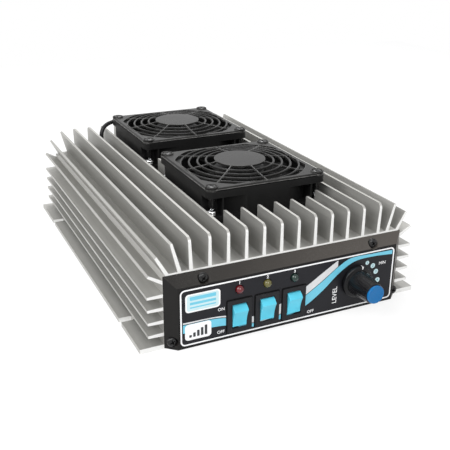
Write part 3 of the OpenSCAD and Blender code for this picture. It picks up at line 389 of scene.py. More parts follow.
def make_sharp_edges():
    """Mask of the sharp edges, broken up as handling does it."""
    bench, given, result = new_group(
        "sharp_edges", [("Radius", "Float", 0.0005), ("Patches", "Float", 250.0)], ["Mask"])
    bevel = bench.add("ShaderNodeBevel", {"Radius": given["Radius"]}, samples=4)
    true = bench.add("ShaderNodeNewGeometry").outputs["Normal"]
    dot = bench.add("ShaderNodeVectorMath", {0: bevel.outputs[0], 1: true}, operation="DOT_PRODUCT")
    bend = bench.math("SUBTRACT", 1.0, dot.outputs["Value"])
    edge = bench.spread(bend, 0.02, 0.25)
    patches = bench.noise(bench.place(), given["Patches"], 4.0)
    broken = bench.math("MULTIPLY", edge, bench.spread(patches, 0.35, 0.65, 0.35, 1.0))
    bench.tree.links.new(broken, result["Mask"])
    return bench.tree


def make_drawn_lines():
    """Fine lines that a die leaves along drawn metal, and wide pale bands."""
    bench, given, result = new_group(
        "drawn_lines", [("Along", "Vector", (1.0, 0.01, 1.0)), ("Scale", "Float", 2500.0)],
        ["Lines", "Bands"])
    stretched = bench.scale(bench.place(), given["Along"])
    fine = bench.noise(stretched, given["Scale"], 3.0, 0.65)
    wide = bench.noise(stretched, bench.math("MULTIPLY", given["Scale"], 0.12), 2.0)
    bench.tree.links.new(bench.spread(fine, 0.25, 0.75), result["Lines"])
    bench.tree.links.new(bench.spread(wide, 0.3, 0.7), result["Bands"])
    return bench.tree


def make_moulded_grain():
    """The fine pebbled grain of a mould, with soft flow marks under it."""
    bench, given, result = new_group(
        "moulded_grain", [("Scale", "Float", 4000.0), ("Flow", "Float", 60.0)], ["Grain", "Flow"])
    cells = bench.add("ShaderNodeTexVoronoi", {
        "Vector": bench.place(), "Scale": given["Scale"],
    }, feature="SMOOTH_F1")
    speckle = bench.noise(bench.place(), bench.math("MULTIPLY", given["Scale"], 1.7), 2.0)
    uneven = bench.spread(speckle, 0.2, 0.8, 0.5, 1.0)
    grain = bench.math("MULTIPLY", cells.outputs["Distance"], uneven)
    flow = bench.noise(bench.place(), given["Flow"], 2.0)
    bench.tree.links.new(grain, result["Grain"])
    bench.tree.links.new(bench.spread(flow, 0.3, 0.7), result["Flow"])
    return bench.tree


def make_handling():
    """Finger smudges, and the dust that settles on what faces up."""
    bench, given, result = new_group(
        "handling", [("Scale", "Float", 45.0), ("Speckle", "Float", 1500.0)], ["Smudge", "Dust"])
    cloud = bench.noise(bench.place(), given["Scale"], 4.0, 0.6)
    speck = bench.noise(bench.place(), given["Speckle"], 2.0)
    normal = bench.add("ShaderNodeTexCoord").outputs["Normal"]
    height = bench.add("ShaderNodeSeparateXYZ", {0: normal}).outputs["Z"]
    up = bench.spread(height, 0.5, 1.0)
    dusty = bench.math("MULTIPLY", up, bench.spread(speck, 0.45, 0.7))
    clouded = bench.math("MULTIPLY", dusty, bench.spread(cloud, 0.3, 0.7))
    bench.tree.links.new(bench.spread(cloud, 0.35, 0.7), result["Smudge"])
    bench.tree.links.new(clouded, result["Dust"])
    return bench.tree


EFFECTS = {
    "sharp_edges": make_sharp_edges(),
    "drawn_lines": make_drawn_lines(),
    "moulded_grain": make_moulded_grain(),
    "handling": make_handling(),
}


# ---- Finishes ----

SHADER_SOCKETS = {"coat": "Coat Weight", "specular": "Specular IOR Level"}
FINISHES = {}


class Finish(Bench):
    """A material with a Principled shader, to which masks and colours are joined.

    FINISHES keeps it under its name.
    """

    def __init__(self, name, roughness, metallic=0.0, **plain):
        material = bpy.data.materials.new(name)
        material.use_nodes = True
        FINISHES[name] = material
        super().__init__(material.node_tree)
        self.shader = self.tree.nodes["Principled BSDF"]
        self.shader.inputs["Roughness"].default_value = roughness
        self.shader.inputs["Metallic"].default_value = metallic
        for key, value in plain.items():
            self.shader.inputs[SHADER_SOCKETS[key]].default_value = value

    def effect(self, name, **inputs):
        node = self.add("ShaderNodeGroup", node_tree=EFFECTS[name])
        for key, value in inputs.items():
            node.inputs[key].default_value = value
        return node.outputs

    def join(self, socket, name):
        self.tree.links.new(socket, self.shader.inputs[name])

    def bump(self, height, strength):
        relief = 0.00005
        node = self.add("ShaderNodeBump", {
            "Height": height, "Strength": strength, "Distance": relief,
        })
        self.join(node.outputs[0], "Normal")


def metal(
        name, dark, light, roughness, along, edge=(0.85, 0.85, 0.84), ends=None, metallic=1.0):
    """Bare metal with drawn lines; the end faces, which face along the lines, can be paler, partly
    from their saw cut and partly as painted light.
    """
    finish = Finish(name, roughness, metallic)
    lines = finish.effect("drawn_lines", Along=along)
    marks = finish.effect("handling", Scale=35.0)
    edge_mask = finish.effect("sharp_edges", Radius=0.0003)
    tone = finish.math("MULTIPLY", lines["Lines"], 0.45)
    tone = finish.math("ADD", tone, finish.math("MULTIPLY", lines["Bands"], 0.55))
    colour = finish.mix(tone, dark, light)
    # Painted light: faces along Y take the paler end colour, partly for their saw cut and partly
    # for the front lamp's light on them.
    if ends:
        normal = finish.add("ShaderNodeTexCoord").outputs["Normal"]
        facing = finish.add("ShaderNodeSeparateXYZ", {0: normal}).outputs["Y"]
        saw_cut_and_lit = finish.spread(finish.math("ABSOLUTE", facing), 0.8, 0.95)
        colour = finish.mix(saw_cut_and_lit, colour, ends)
    colour = finish.mix(finish.math("MULTIPLY", edge_mask["Mask"], 0.4), colour, edge)
    finish.join(colour, "Base Color")
    rough = finish.math("ADD", roughness - 0.06, finish.math("MULTIPLY", lines["Lines"], 0.08))
    rough = finish.math("ADD", rough, finish.math("MULTIPLY", marks["Smudge"], 0.06))
    finish.join(rough, "Roughness")
    finish.bump(lines["Lines"], 0.25)


def moulding(
        name, colour, worn_and_lit_edge, roughness, grain=4000.0, depth=0.3, dust=0.12, worn_and_lit_edge_mix=0.35,
        edge_mask_radius=0.0004, fade_and_sheen=None, **plain):
    """Moulded plastic or rubber: pebbled grain, paler edges (rubbed by use, and on the guard mostly
    a painted highlight), smudges and a little dust.

    Its slopes that face up or right can take a painted sheen, more so towards the right.
    """
    finish = Finish(name, roughness, **plain)
    pebbles = finish.effect("moulded_grain", Scale=grain)
    marks = finish.effect("handling")
    edge_mask = finish.effect("sharp_edges", Radius=edge_mask_radius)
    darker = tuple(c * 0.82 for c in colour)
    tint = finish.mix(pebbles["Flow"], darker, colour)
    # Painted sheen: slopes facing up or right are lightened towards the right, as the top light
    # would make them.
    if fade_and_sheen:
        spots = finish.add("ShaderNodeTexCoord").outputs
        facing = finish.add("ShaderNodeSeparateXYZ", {0: spots["Normal"]}).outputs
        across = finish.add("ShaderNodeSeparateXYZ", {0: spots["Object"]}).outputs["X"]
        sheen_on_slopes = finish.spread(finish.math("MAXIMUM", facing["Z"], facing["X"]), 0.15, 0.3)
        sheen_on_slopes = finish.math("MULTIPLY", sheen_on_slopes, finish.spread(across, -0.09, 0.09))
        tint = finish.mix(sheen_on_slopes, tint, fade_and_sheen)
    # Paler edges: rubbing by use, and where the mix is strong, as on the guard, a painted
    # highlight.
    tint = finish.mix(finish.math("MULTIPLY", edge_mask["Mask"], worn_and_lit_edge_mix), tint, worn_and_lit_edge)
    tint = finish.mix(finish.math("MULTIPLY", marks["Dust"], dust), tint, (0.42, 0.41, 0.39))
    finish.join(tint, "Base Color")
    rough = finish.math("ADD", roughness - 0.05, finish.math("MULTIPLY", marks["Smudge"], 0.1))
    finish.join(rough, "Roughness")
    finish.bump(pebbles["Grain"], depth)


def resin_lamp(name, shaded_rim, bright):
    """Tinted clear resin, with painted shade towards its rim, where it turns from the camera, and a
    painted lighter middle that faces it.
    """
    finish = Finish(name, 0.08, coat=0.6, specular=0.3)
    # Painted light: the facing mask darkens the rim and leaves the middle that faces the camera
    # light.
    rim = finish.add("ShaderNodeLayerWeight", {"Blend": 0.35}).outputs["Facing"]
    cloud = finish.noise(finish.place(), 400.0, 2.0)
    painted_rim_shade = finish.math("MULTIPLY", rim, finish.spread(cloud, 0.3, 0.7, 0.8, 1.0))
    finish.join(finish.mix(painted_rim_shade, bright, shaded_rim), "Base Color")
    finish.bump(cloud, 0.05)


def speckled(name, dark, light, roughness, metallic=0.0, scale=1800.0, depth=0.3, **plain):
    """Plated, fired, sintered or printed surfaces: fine specks over soft clouds."""
    finish = Finish(name, roughness, metallic, **plain)
    specks = finish.spread(finish.noise(finish.place(), scale, 3.0, 0.6), 0.3, 0.7)
    smudge = finish.effect("handling", Scale=80.0)["Smudge"]
    tone = finish.math("MULTIPLY", specks, finish.spread(smudge, 0.0, 1.0, 0.5, 1.0))
    finish.join(finish.mix(tone, dark, light), "Base Color")
    rough = finish.spread(smudge, 0.0, 1.0, roughness - 0.04, roughness + 0.05)
    finish.join(rough, "Roughness")
    finish.bump(specks, depth)


def ink(name, colour, specular=0.5):
    """Printing ink, a little uneven."""
    roughness = 0.42
    finish = Finish("ink_" + name, roughness, specular=specular)
    smudge = finish.effect("handling", Scale=120.0)["Smudge"]
    patch = finish.noise(finish.place(), 2500.0, 2.0)
    fade_and_sheen = tuple(min(1.0, c * 0.88 + 0.01) for c in colour)
    finish.join(finish.mix(finish.spread(patch, 0.3, 0.7), fade_and_sheen, colour), "Base Color")
    rough = finish.spread(smudge, 0.0, 1.0, roughness - 0.05, roughness + 0.05)
    finish.join(rough, "Roughness")
    finish.bump(patch, 0.08)


# Drawn lines run along the axis whose share is small
ALONG_X = (0.008, 1.0, 1.0)
ALONG_Y = (1.0, 0.008, 1.0)
ALONG_Z = (1.0, 1.0, 0.02)
SHORT_ALONG_Z = (1.0, 1.0, 0.1)

# The pale end colour of the aluminium is partly painted light on the fins' front ends.
metal(
    "extruded_aluminium", (0.36, 0.357, 0.34), (0.43, 0.425, 0.405), 0.5, ALONG_Y,
    edge=(0.44, 0.44, 0.425), ends=(0.74, 0.74, 0.725), metallic=0.65)
metal(
    "sheet_aluminium", (0.60, 0.605, 0.60), (0.68, 0.685, 0.68), 0.42, ALONG_X, metallic=0.85)
# The panel's last colour is a painted sheen on its top and right bevels.
moulding(
    "panel_black", (0.0095, 0.009, 0.0086), (0.055, 0.051, 0.048), 0.4,
    fade_and_sheen=(0.078, 0.070, 0.063), specular=0.16)
moulding(
    "overlay_black", (0.012, 0.012, 0.015), (0.05, 0.05, 0.05), 0.32,
    grain=6000.0, depth=0.15, dust=0.04, specular=0.17)
# For each lamp, the first colour is its painted rim shade and the second its painted lighter
# middle.
resin_lamp("lamp_red", shaded_rim=(0.03, 0.0005, 0.002), bright=(0.11, 0.0025, 0.006))
resin_lamp("lamp_yellow", shaded_rim=(0.03, 0.025, 0.004), bright=(0.10, 0.088, 0.02))
resin_lamp("lamp_green", shaded_rim=(0.001, 0.008, 0.006), bright=(0.003, 0.02, 0.014))
moulding("switch_black", (0.012, 0.012, 0.014), (0.06, 0.06, 0.06), 0.36, specular=0.2)
moulding(
    "rocker_blue", (0.085, 0.53, 0.70), (0.45, 0.80, 0.90), 0.26,
    grain=5000.0, depth=0.08, dust=0.02, specular=0.35)
moulding(
    "knob_black", (0.005, 0.005, 0.006), (0.04, 0.04, 0.04), 0.2,
    depth=0.1, dust=0.03, specular=0.22)
moulding(
    "cap_blue", (0.002, 0.12, 0.33), (0.03, 0.24, 0.48), 0.25,
    grain=5000.0, depth=0.06, dust=0.02, worn_and_lit_edge_mix=0.4, specular=0.25)
speckled(
    "black_screw", (0.004, 0.004, 0.004), (0.012, 0.012, 0.012), 0.22,
    scale=2500.0, depth=0.1, coat=0.2, specular=0.25)
speckled(
    "bright_screw", (0.70, 0.71, 0.72), (0.90, 0.90, 0.90), 0.24,
    metallic=1.0, scale=1500.0, depth=0.1)
metal("steel", (0.52, 0.53, 0.54), (0.68, 0.68, 0.69), 0.33, ALONG_Z)
speckled(
    "nickel", (0.60, 0.60, 0.60), (0.74, 0.73, 0.71), 0.25,
    metallic=1.0, scale=1200.0, depth=0.1)
speckled(
    "contact_brass", (0.66, 0.46, 0.18), (0.82, 0.62, 0.3), 0.3,
    metallic=1.0, scale=1500.0, depth=0.1)
speckled(
    "insulator_cream", (0.68, 0.64, 0.54), (0.82, 0.79, 0.70), 0.5, scale=900.0, depth=0.15)
moulding("rubber_black", (0.010, 0.010, 0.010), (0.04, 0.04, 0.04), 0.5, specular=0.25)
speckled("board_green", (0.02, 0.12, 0.05), (0.04, 0.19, 0.09), 0.35, scale=600.0, depth=0.1)
speckled("ceramic", (0.62, 0.58, 0.5), (0.8, 0.77, 0.7), 0.45)
speckled("ferrite", (0.035, 0.035, 0.04), (0.08, 0.08, 0.085), 0.6, scale=1500.0, depth=0.5)
metal("copper_wire", (0.5, 0.17, 0.07), (0.68, 0.27, 0.13), 0.3, SHORT_ALONG_Z)
moulding("relay_white", (0.72, 0.71, 0.66), (0.8, 0.8, 0.78), 0.35)
moulding("can_blue", (0.03, 0.05, 0.13), (0.1, 0.13, 0.25), 0.3)
moulding("fuse_red", (0.55, 0.05, 0.03), (0.7, 0.2, 0.15), 0.35)
moulding("fan_black", (0.009, 0.009, 0.009), (0.07, 0.07, 0.07), 0.38, dust=0.03, specular=0.13)
# The guard's pale edge colour and strong mix paint highlights on its ring tops and edges.
moulding(
    "guard_black", (0.0095, 0.0093, 0.009), (0.30, 0.295, 0.285), 0.3,
    grain=3500.0, depth=0.12, dust=0.04, worn_and_lit_edge_mix=0.65, edge_mask_radius=0.0006, specular=0.16)
speckled("magnet_grey", (0.05, 0.05, 0.055), (0.1, 0.1, 0.11), 0.5)

ink("white", (0.78, 0.78, 0.79))
ink("grey", (0.58, 0.59, 0.60))
ink("pale", (0.48, 0.64, 0.67))
ink("cyan", (0.12, 0.47, 0.62))
ink("dark", (0.012, 0.014, 0.018))
ink("teal", (0.03, 0.22, 0.30))
ink("black", (0.002, 0.002, 0.002), specular=0.05)


# ---- Screws ----

def cross_screw(name, size, length):
    """A pan-head screw with its seat at the origin and a cross-shaped recess in its head."""
    shank, head, high = size
    piece = lathe(name, [
        (0, -length), (shank * 0.7, -length), (shank, -length + shank * 0.5), (shank, 0),
        (head, 0), (head, high * 0.45), (head * 0.96, high * 0.66), (head * 0.86, high * 0.82),
        (head * 0.68, high * 0.93), (head * 0.4, high * 0.985), (0, high),
    ], 28)
    for turn in (0, 90):
        wing = block("recess", (head * 1.2, head * 0.3, high * 0.9), (0, 0, high * 0.7))
        edit(wing)
        pick_faces(wing, lambda middle, normal: normal.z < -0.5)
        bpy.ops.transform.resize(value=(0.45, 0.5, 1))
        leave()
        cut(piece, place(wing, (0, 0, 0), turn=turn))
    smooth(piece, 40)
    return piece


def fan_corners(z):
    """The four screw places of both fans, at that height."""
    return [
        (FAN_X + sx * FAN_HOLE, y + sy * FAN_HOLE, z)
        for y in FAN_YS.values() for sx in (-1, 1) for sy in (-1, 1)]


def socket_corners():
    """The four screw places of both sockets, on the outer face of their flanges."""
    flange, half = 1.6, 9.15
    return [
        (x + sx * half, y + flange, z + sz * half)
        for x, y, z in SOCKET_SPOTS.values() for sx in (-1, 1) for sz in (-1, 1)]


def screw_set(name, size, length, seats, facing, turns, finish, solids):
    """One piece for all screws of a kind; a driver leaves each recess at its own turn."""
    screws = repeat(cross_screw(name, size, length), seats, facing, turns)
    fit(screws, "chassis", finish, solids)


def make_screws():
    turns = [12, 50, 31, 75, 20, 64, 5, 40]
    screw_set(
        "guard_screw_heads", M4, 12, fan_corners(GUARD_SCREW_Z), "up", turns,
        "black_screw", "guard_screws")
    screw_set(
        "fan_fixing_screws", M3, 18, fan_corners(FAN_SCREW_Z), "up", turns,
        "bright_screw", "fan_screws")
    screw_set(
        "panel_screws_front", M3, 10, [(x, PANEL_SEAT_Y, z) for x, z in PANEL_SCREWS], "front",
        [20, 48, 33, 70], "black_screw", "front_panel_screws")
    screw_set(
        "panel_screws_rear", M3, 10, [(x, REAR_FACE_Y, z) for x, z in PANEL_SCREWS], "rear",
        [15, 62, 40, 5], "black_screw", "rear_panel_screws")
    screw_set(
        "socket_fixing_screws", M3_SMALL, 7, socket_corners(), "rear", turns,
        "bright_screw", "socket_screws")


# ---- Fans ----

# The finger guard in millimetres, its heights counted from its underside
GUARD_SIDE = 80
GUARD_TOP_SIDE = 77.2
SEAT_SIDE = 75.6
SEAT_THICK = 0.8
BORDER_THICK = 1.0
GUARD_TOP = SEAT_THICK + BORDER_THICK
GUARD_DOME = 3.1
OPENING_RADIUS = 42
OPENING_HALF = 36.4
BOSS_SPOTS = [(sx * FAN_HOLE, sy * FAN_HOLE, 0) for sx in (-1, 1) for sy in (-1, 1)]
RING_RADII = [21.7 + 5.4 * i for i in range(4)]
RING_REACH = 37.2
RING_DEPTH = 1.5
DISC_RADIUS = 16.5
SPOKE_ENDS = {0: 38.5, 45: 42.6}


def dome_rise(radius):
    """How far the guard's top stands over its border at that radius."""
    reach = max(0.0, (radius - DISC_RADIUS) / (GUARD_SIDE / 2 - DISC_RADIUS))
    return GUARD_DOME * max(0.0, 1 - reach ** 0.75)


def guard_opening():
    """Outline of a circle that four flats cut off."""
    reach = math.degrees(math.acos(OPENING_HALF / OPENING_RADIUS))
    return [
        point for turn in (0, 90, 180, 270)
        for point in arc((0, 0), OPENING_RADIUS, turn + reach, turn + 90 - reach, 8)]


def guard_border(where):
    """Flat border whose outer side leans inwards, with four round holes for the bosses."""
    border = flat_shape(
        "guard_" + where, [rounded(GUARD_SIDE, GUARD_SIDE, 4), guard_opening()], BORDER_THICK)
    edit(border)
    sheet = bmesh.from_edit_mesh(border.data)
    for vert in sheet.verts:
        outside = max(abs(vert.co.x), abs(vert.co.y)) > (GUARD_SIDE / 2 - 2) * MM
        if outside and vert.co.z > BORDER_THICK / 2 * MM:
            vert.co.x *= GUARD_TOP_SIDE / GUARD_SIDE
            vert.co.y *= GUARD_TOP_SIDE / GUARD_SIDE
    bmesh.update_edit_mesh(border.data)
    bpy.ops.transform.translate(value=(0, 0, SEAT_THICK * MM))
    leave()
    for spot in BOSS_SPOTS:
        cut(border, place(lathe("hole", [(0, -1), (3.7, -1), (3.7, 5), (0, 5)], 32), spot))
    round_edges(border, 0.35, 3)
    return border


def guard_seat():
    """The step under the border that stands on the fan."""
    side = rounded(SEAT_SIDE, SEAT_SIDE, 3)
    holes = [circle(spot[:2], 3.2) for spot in BOSS_SPOTS]
    return flat_shape("seat", [side, guard_opening()] + holes, SEAT_THICK)


def guard_bosses():
    """Four raised rims round the screws."""
    boss = lathe("boss", [
        (1.95, 0.05), (4.1, 0.05), (4.2, 2.2), (4.0, 2.5), (3.7, 2.6), (3.4, 2.5), (3.15, 2.3),
        (3.05, 1.0), (1.95, 1.0), (1.95, 0.05)], 40)
    return repeat(boss, BOSS_SPOTS)


def guard_ring(radius):
    """A ring with a round top; the border's four sides cut the widest one off."""
    low = GUARD_TOP + dome_rise(radius) - RING_DEPTH
    side = [(0.45, 0), (0.75, 0.35), (0.75, 1.0), (0.6, 1.35), (0.3, 1.56), (0, 1.62)]
    section = side + [(-r, h) for r, h in reversed(side[:-1])] + side[:1]
    ring = lathe("ring", [(radius + r, low + h) for r, h in section], 96)
    if radius > RING_REACH:
        trim(ring, RING_REACH)
    return ring


def trim(piece, half):
    """Cuts a ring off at the four sides of a square."""
    edit(piece)
    for normal in ((1, 0, 0), (-1, 0, 0), (0, 1, 0), (0, -1, 0)):
        bpy.ops.mesh.select_all(action="SELECT")
        bpy.ops.mesh.bisect(
            plane_co=Vector(normal) * half * MM, plane_no=normal, use_fill=True, clear_outer=True)
    leave()


def guard_disc():
    """Flat disc over the hub."""
    top = GUARD_TOP + GUARD_DOME
    return lathe("disc", [
        (0, top - 1.4), (DISC_RADIUS - 0.3, top - 1.4), (DISC_RADIUS, top - 1.1),
        (DISC_RADIUS, top - 0.4), (DISC_RADIUS - 0.12, top - 0.12), (DISC_RADIUS - 0.4, top),
        (0, top)], 72)


def guard_spokes(first_turn, outer):
    """Four spokes with round tops that follow the guard's dome."""
    inner, wide, high, steps = DISC_RADIUS - 0.5, 1.2, 1.4, 7
    spoke = block("spoke", (wide, wide, high))
    edit(spoke)
    lift = GUARD_TOP + dome_rise(inner) - high / 2 - 0.05
    bpy.ops.transform.translate(value=((inner - wide / 2) * MM, 0, lift * MM))
    radii = [inner + (outer - inner) * i / steps for i in range(steps + 1)]
    for start, end in zip(radii, radii[1:]):
        pick_faces(spoke, lambda middle, normal: normal.x > 0.5 and middle.x > start - 0.2)
        drop = dome_rise(end) - dome_rise(start)
        bpy.ops.mesh.extrude_region_move(
            TRANSFORM_OT_translate={"value": ((end - start) * MM, 0, drop * MM)})
    leave()
    round_edges(spoke, 0.4, 3, 50)
    return repeat(spoke, [(0, 0, 0)] * 4, turns=[first_turn + 90 * i for i in range(4)])


def make_guard(where):
    """Moulded finger guard: border, seat, bosses, domed rings and spokes, and a flat disc."""
    parts = [guard_bosses(), guard_seat(), guard_disc()]
    parts += [guard_ring(radius) for radius in RING_RADII]
    parts += [guard_spokes(turn, outer) for turn, outer in SPOKE_ENDS.items()]
    guard = join(guard_border(where), *parts)
    place(guard, (FAN_X, FAN_YS[where], GUARD_LOW_Z))
    smooth(guard, 40)
    fit(guard, "chassis", "guard_black", "fan_guard_" + where)


def rotor_blades(count=7):
    """Blades drawn out from the hub in steps, with a twist at each."""
    root, middle_z, pitch, twist = 16.6, 11.3, 38, 2.2
    steps, stride, sweep = 5, 3.92, -0.5
    blade = block("blade", (0.8, 16.5, 1.3))
    edit(blade)
    bpy.ops.transform.rotate(
        value=-math.radians(pitch), orient_axis="X", center_override=(0, 0, 0))
    bpy.ops.transform.translate(value=(root * MM, 0, middle_z * MM))
    for step in range(steps):
        end = root + 0.2 + step * stride
        pick_faces(blade, lambda middle, normal: normal.x > 0.6 and middle.x > end)
        bpy.ops.mesh.extrude_region_move(
            TRANSFORM_OT_translate={"value": (stride * MM, sweep * MM, 0)})
        bpy.ops.transform.rotate(
            value=math.radians(twist), orient_axis="X", center_override=(0, 0, middle_z * MM))
    leave()
    round_edges(blade, 0.35, 2, 50)
    return repeat(blade, [(0, 0, 0)] * count, turns=[i * 360 / count for i in range(count)])


def make_rotor(where):
    """Hub with a rounded crown and seven twisted blades."""
    hub = lathe("rotor_" + where, [
        (15.6, 4.3), (16.9, 4.2), (17, 4.6), (17, 18.0), (16.8, 18.6), (16.2, 19.0), (15.4, 19.0),
        (14.9, 18.75), (3.2, 18.75), (2.9, 18.5), (0, 18.5), (0, 17.3), (15.6, 17.3),
        (15.6, 4.3)], 72)
    rotor = join(hub, rotor_blades())
    place(rotor, (FAN_X, FAN_YS[where], FAN_LOW_Z))
    smooth(rotor, 40)
    fit(rotor, where + "_rotor", "fan_black", "fan_rotor_" + where)


def close_left_wall(piece, y):
    """The fan frame's left wall is flush with its flanges, so a plate fills its recess."""
    size, x = (0.9, 60, 12), FAN_X - 39.45
    join(piece, block("web", size, (x, y, FAN_LOW_Z + FAN_THICK / 2)))


def make_lead():
    """The rear fan's lead: out of the frame, over a fin and down through the grommet.

    Its route counts from the fan's middle and from the deck.
    """
    radius = 1.58
    route = [
        (-27, 30, 24.9), (-27, 34, 24.9), (-27, 39.6, 24.9), (-28.4, 42.2, 24.8),
        (-31.6, 43.4, 24.5), (-35.6, 43.2, 24), (-39.6, 42.2, 23.4), (-43.4, 40.6, 22.6),
        (-46.6, 39, 20.9), (-48.8, 37.9, 17.8), (-49.6, 37.4, 13.6), (-49.5, 37, 8),
        (-49.5, 37, 2), (-49.5, 37, -11)]
    data = bpy.data.curves.new("fan_lead_sleeve", "CURVE")
    data.dimensions = "3D"
    data.bevel_depth = radius * MM
    data.bevel_resolution = 4
    data.use_fill_caps = True
    spline = data.splines.new("BEZIER")
    spline.bezier_points.add(len(route) - 1)
    spline.resolution_u = 6
    for point, (x, y, z) in zip(spline.bezier_points, route):
        point.co = Vector((FAN_X + x, FAN_YS["rear"] + y, DECK_Z + z)) * MM
        point.handle_left_type = point.handle_right_type = "AUTO"
    lead = mesh_of("fan_lead_sleeve", data)
    edit(lead)
    tidy_mesh()
    leave()
    smooth(lead, 60, False)
    fit(lead, "chassis", "rubber_black", "fan_lead")


# ---- Controls ----

def cut_flutes(grip):
    """Draws shallow flutes into the grip, from above the skirt to its end."""
    count, depth, low, inner = 24, 0.12, 3.6, 5.9
    edit(grip, "VERT")
    sheet = bmesh.from_edit_mesh(grip.data)
    for vert in sheet.verts:
        radius = math.hypot(vert.co.x, vert.co.y) / MM
        if vert.co.z > low * MM and radius > inner:
            wave = math.cos(count * math.atan2(vert.co.y, vert.co.x))
            scale = 1 - depth * max(0.0, wave) / radius
            vert.co.x *= scale
            vert.co.y *= scale
    bmesh.update_edit_mesh(grip.data)
    leave()


def make_knob():
    """Skirt, fluted grip and a coloured cap over the grip's end."""
    grip = lathe("knob_grip", [
        (3.1, 2.4), (6.8, 2.4), (6.8, 0), (9.6, 0), (9.85, 0.25), (9.9, 0.7), (9.9, 2.4),
        (9.7, 2.75), (9.2, 3.0), (8.35, 3.05), (7.9, 3.3), (7.82, 4.2), (7.44, 7.5), (7.02, 11),
        (6.62, 14.5), (6.2, 18.4), (6.05, 18.9), (5.7, 19.1), (3.1, 19.1), (3.1, 2.4)], 144)
    cut_flutes(grip)
    place(grip, KNOB_SPOT, "front")
    smooth(grip)
    fit(grip, "dial", "knob_black", "knob")
    cap = lathe("knob_end_cap", [
        (0, 17.2), (4.2, 17.2), (4.2, 19.1), (5.45, 19.1), (5.6, 19.3), (5.6, 20.1), (5.42, 20.45),
        (5.05, 20.6), (4.3, 20.55), (2.4, 20.35), (0, 20.3)], 72)
    place(cap, KNOB_SPOT, "front")
    smooth(cap, 40)
    fit(cap, "dial", "cap_blue", "knob_cap")
    line = block("knob_pointer", (0.9, 2.2, 2.5), (0, 8.85, 1.85))
    place(line, KNOB_SPOT, "front", -15)
    round_edges(line, 0.2)
    smooth(line)
    line.data.materials.append(FINISHES["ink_white"])
    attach(line, "dial")


def make_sockets():
    """Square flange and threaded barrel; the thread's grooves are turned into the barrel."""
    pitch, grooves, low = 1.058, 10, 3.2
    outside, crest, root = 9.2, 8.0, 7.42
    top = low + grooves * pitch
    outline = [(outside, low)]
    for i in range(grooves):
        z = low + i * pitch
        outline += [(crest, z), (root, z + pitch * 0.45), (root, z + pitch * 0.55)]
    outline += [(crest, top), (outside, top), (outside, low)]
    for name, spot in SOCKET_SPOTS.items():
        shell = soften(name + "_socket", 0)
        cut(shell, place(lathe("thread_cutter", outline, 64), spot, "rear"))
        smooth(shell, 30, False)
        fit(shell, "chassis", "nickel", name + "_socket")


# ---- Front artwork, of a plain kind ----

INK_THICK = 0.03


def print_on(name, outlines, colour, lift=0.05):
    """A printed patch on the overlay, drawn in the panel's X and Z; lift is its outer face."""
    patch = flat_shape(name, outlines, INK_THICK)
    place(patch, (0, LABEL_Y - lift + INK_THICK, 0), "front")
    ink_piece(patch, colour)


def ink_piece(patch, colour):
    """Prints have an ink of their own, and lie on the panel's printed sheet."""
    patch.data.materials.clear()
    patch.data.materials.append(FINISHES["ink_" + colour])
    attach(patch, "chassis")


def print_words(name, words, spot, height, colour="white", turn=0, bold=0.02):
    """Plain words whose capitals are that high, in millimetres."""
    size_of_capitals, thick, lift = 1.38, 0.012, 0.07
    deselect()
    bpy.ops.object.text_add()
    piece = bpy.context.active_object
    piece.name = name
    piece.data.body = words
    piece.data.size = height * size_of_capitals * MM
    piece.data.align_x = "CENTER"
    piece.data.align_y = "CENTER"
    piece.data.extrude = thick * MM
    piece.data.offset = bold * MM
    piece.data.resolution_u = 4
    bpy.ops.object.convert(target="MESH")
    piece = bpy.context.active_object
    edit(piece)
    tidy_mesh()
    leave()
    place(piece, (spot[0], LABEL_Y - lift, spot[1]), "front", turn)
    ink_piece(piece, colour)
    return piece


def eased(points, x):
    """Height at x of a smooth line through the points."""
    def slope(i):
        (x0, z0), (x1, z1) = points[max(i - 1, 0)], points[min(i + 1, len(points) - 1)]
        return (z1 - z0) / (x1 - x0)

    i = max(k for k in range(len(points) - 1) if x >= points[k][0] or k == 0)
    (x0, z0), (x1, z1) = points[i], points[i + 1]
    span = x1 - x0
    t = (x - x0) / span
    return (
        (2 * t ** 3 - 3 * t ** 2 + 1) * z0 + (t ** 3 - 2 * t ** 2 + t) * span * slope(i)
        + (3 * t ** 2 - 2 * t ** 3) * z1 + (t ** 3 - t ** 2) * span * slope(i + 1))


def band(low, high, count=60):
    """Outline of a band between two smooth lines."""
    start, end = low[0][0], low[-1][0]
    xs = [start + (end - start) * i / count for i in range(count + 1)]
    return [(x, eased(low, x)) for x in xs] + [(x, eased(high, x)) for x in reversed(xs)]


def print_ribbon():
    """A frame line, and a ribbon of two colours that sweeps up to the right."""
    middle, left, right = (0, 19.4), -68.1, 68.1
    print_on("border_line", [
        rounded(139.2, 34.2, 2.8, middle), rounded(137.5, 32.5, 2, middle)], "white")
    low = [(left, 10.4), (-44, 9.6), (-26, 4.6), (-8, 5.2), (8, 9.8), (20, 17.6), (31, 27),
           (41, 32.2), (54, 33), (right, 32)]
    seam = [(left, 15.4), (-44, 14.4), (-26, 6.8), (-8, 8.2), (8, 16.6), (20, 24), (30, 31),
            (38, 34.8), (54, 34.9), (right, 34.6)]
    high = [(left, 16.8), (-44, 15.8), (-26, 11.2), (-8, 15.2), (8, 22.4), (18, 28.4),
            (28, 34.4), (29.5, 35.1)]
    print_on("sweep_cyan", [band(low, seam)], "cyan")
    over_seam = [(x, eased(seam, x) + 0.5) for x in (left, -44, -26, -8, 8, 18, 25, 29.5)]
    print_on("sweep_white", [band(over_seam, high)], "grey")


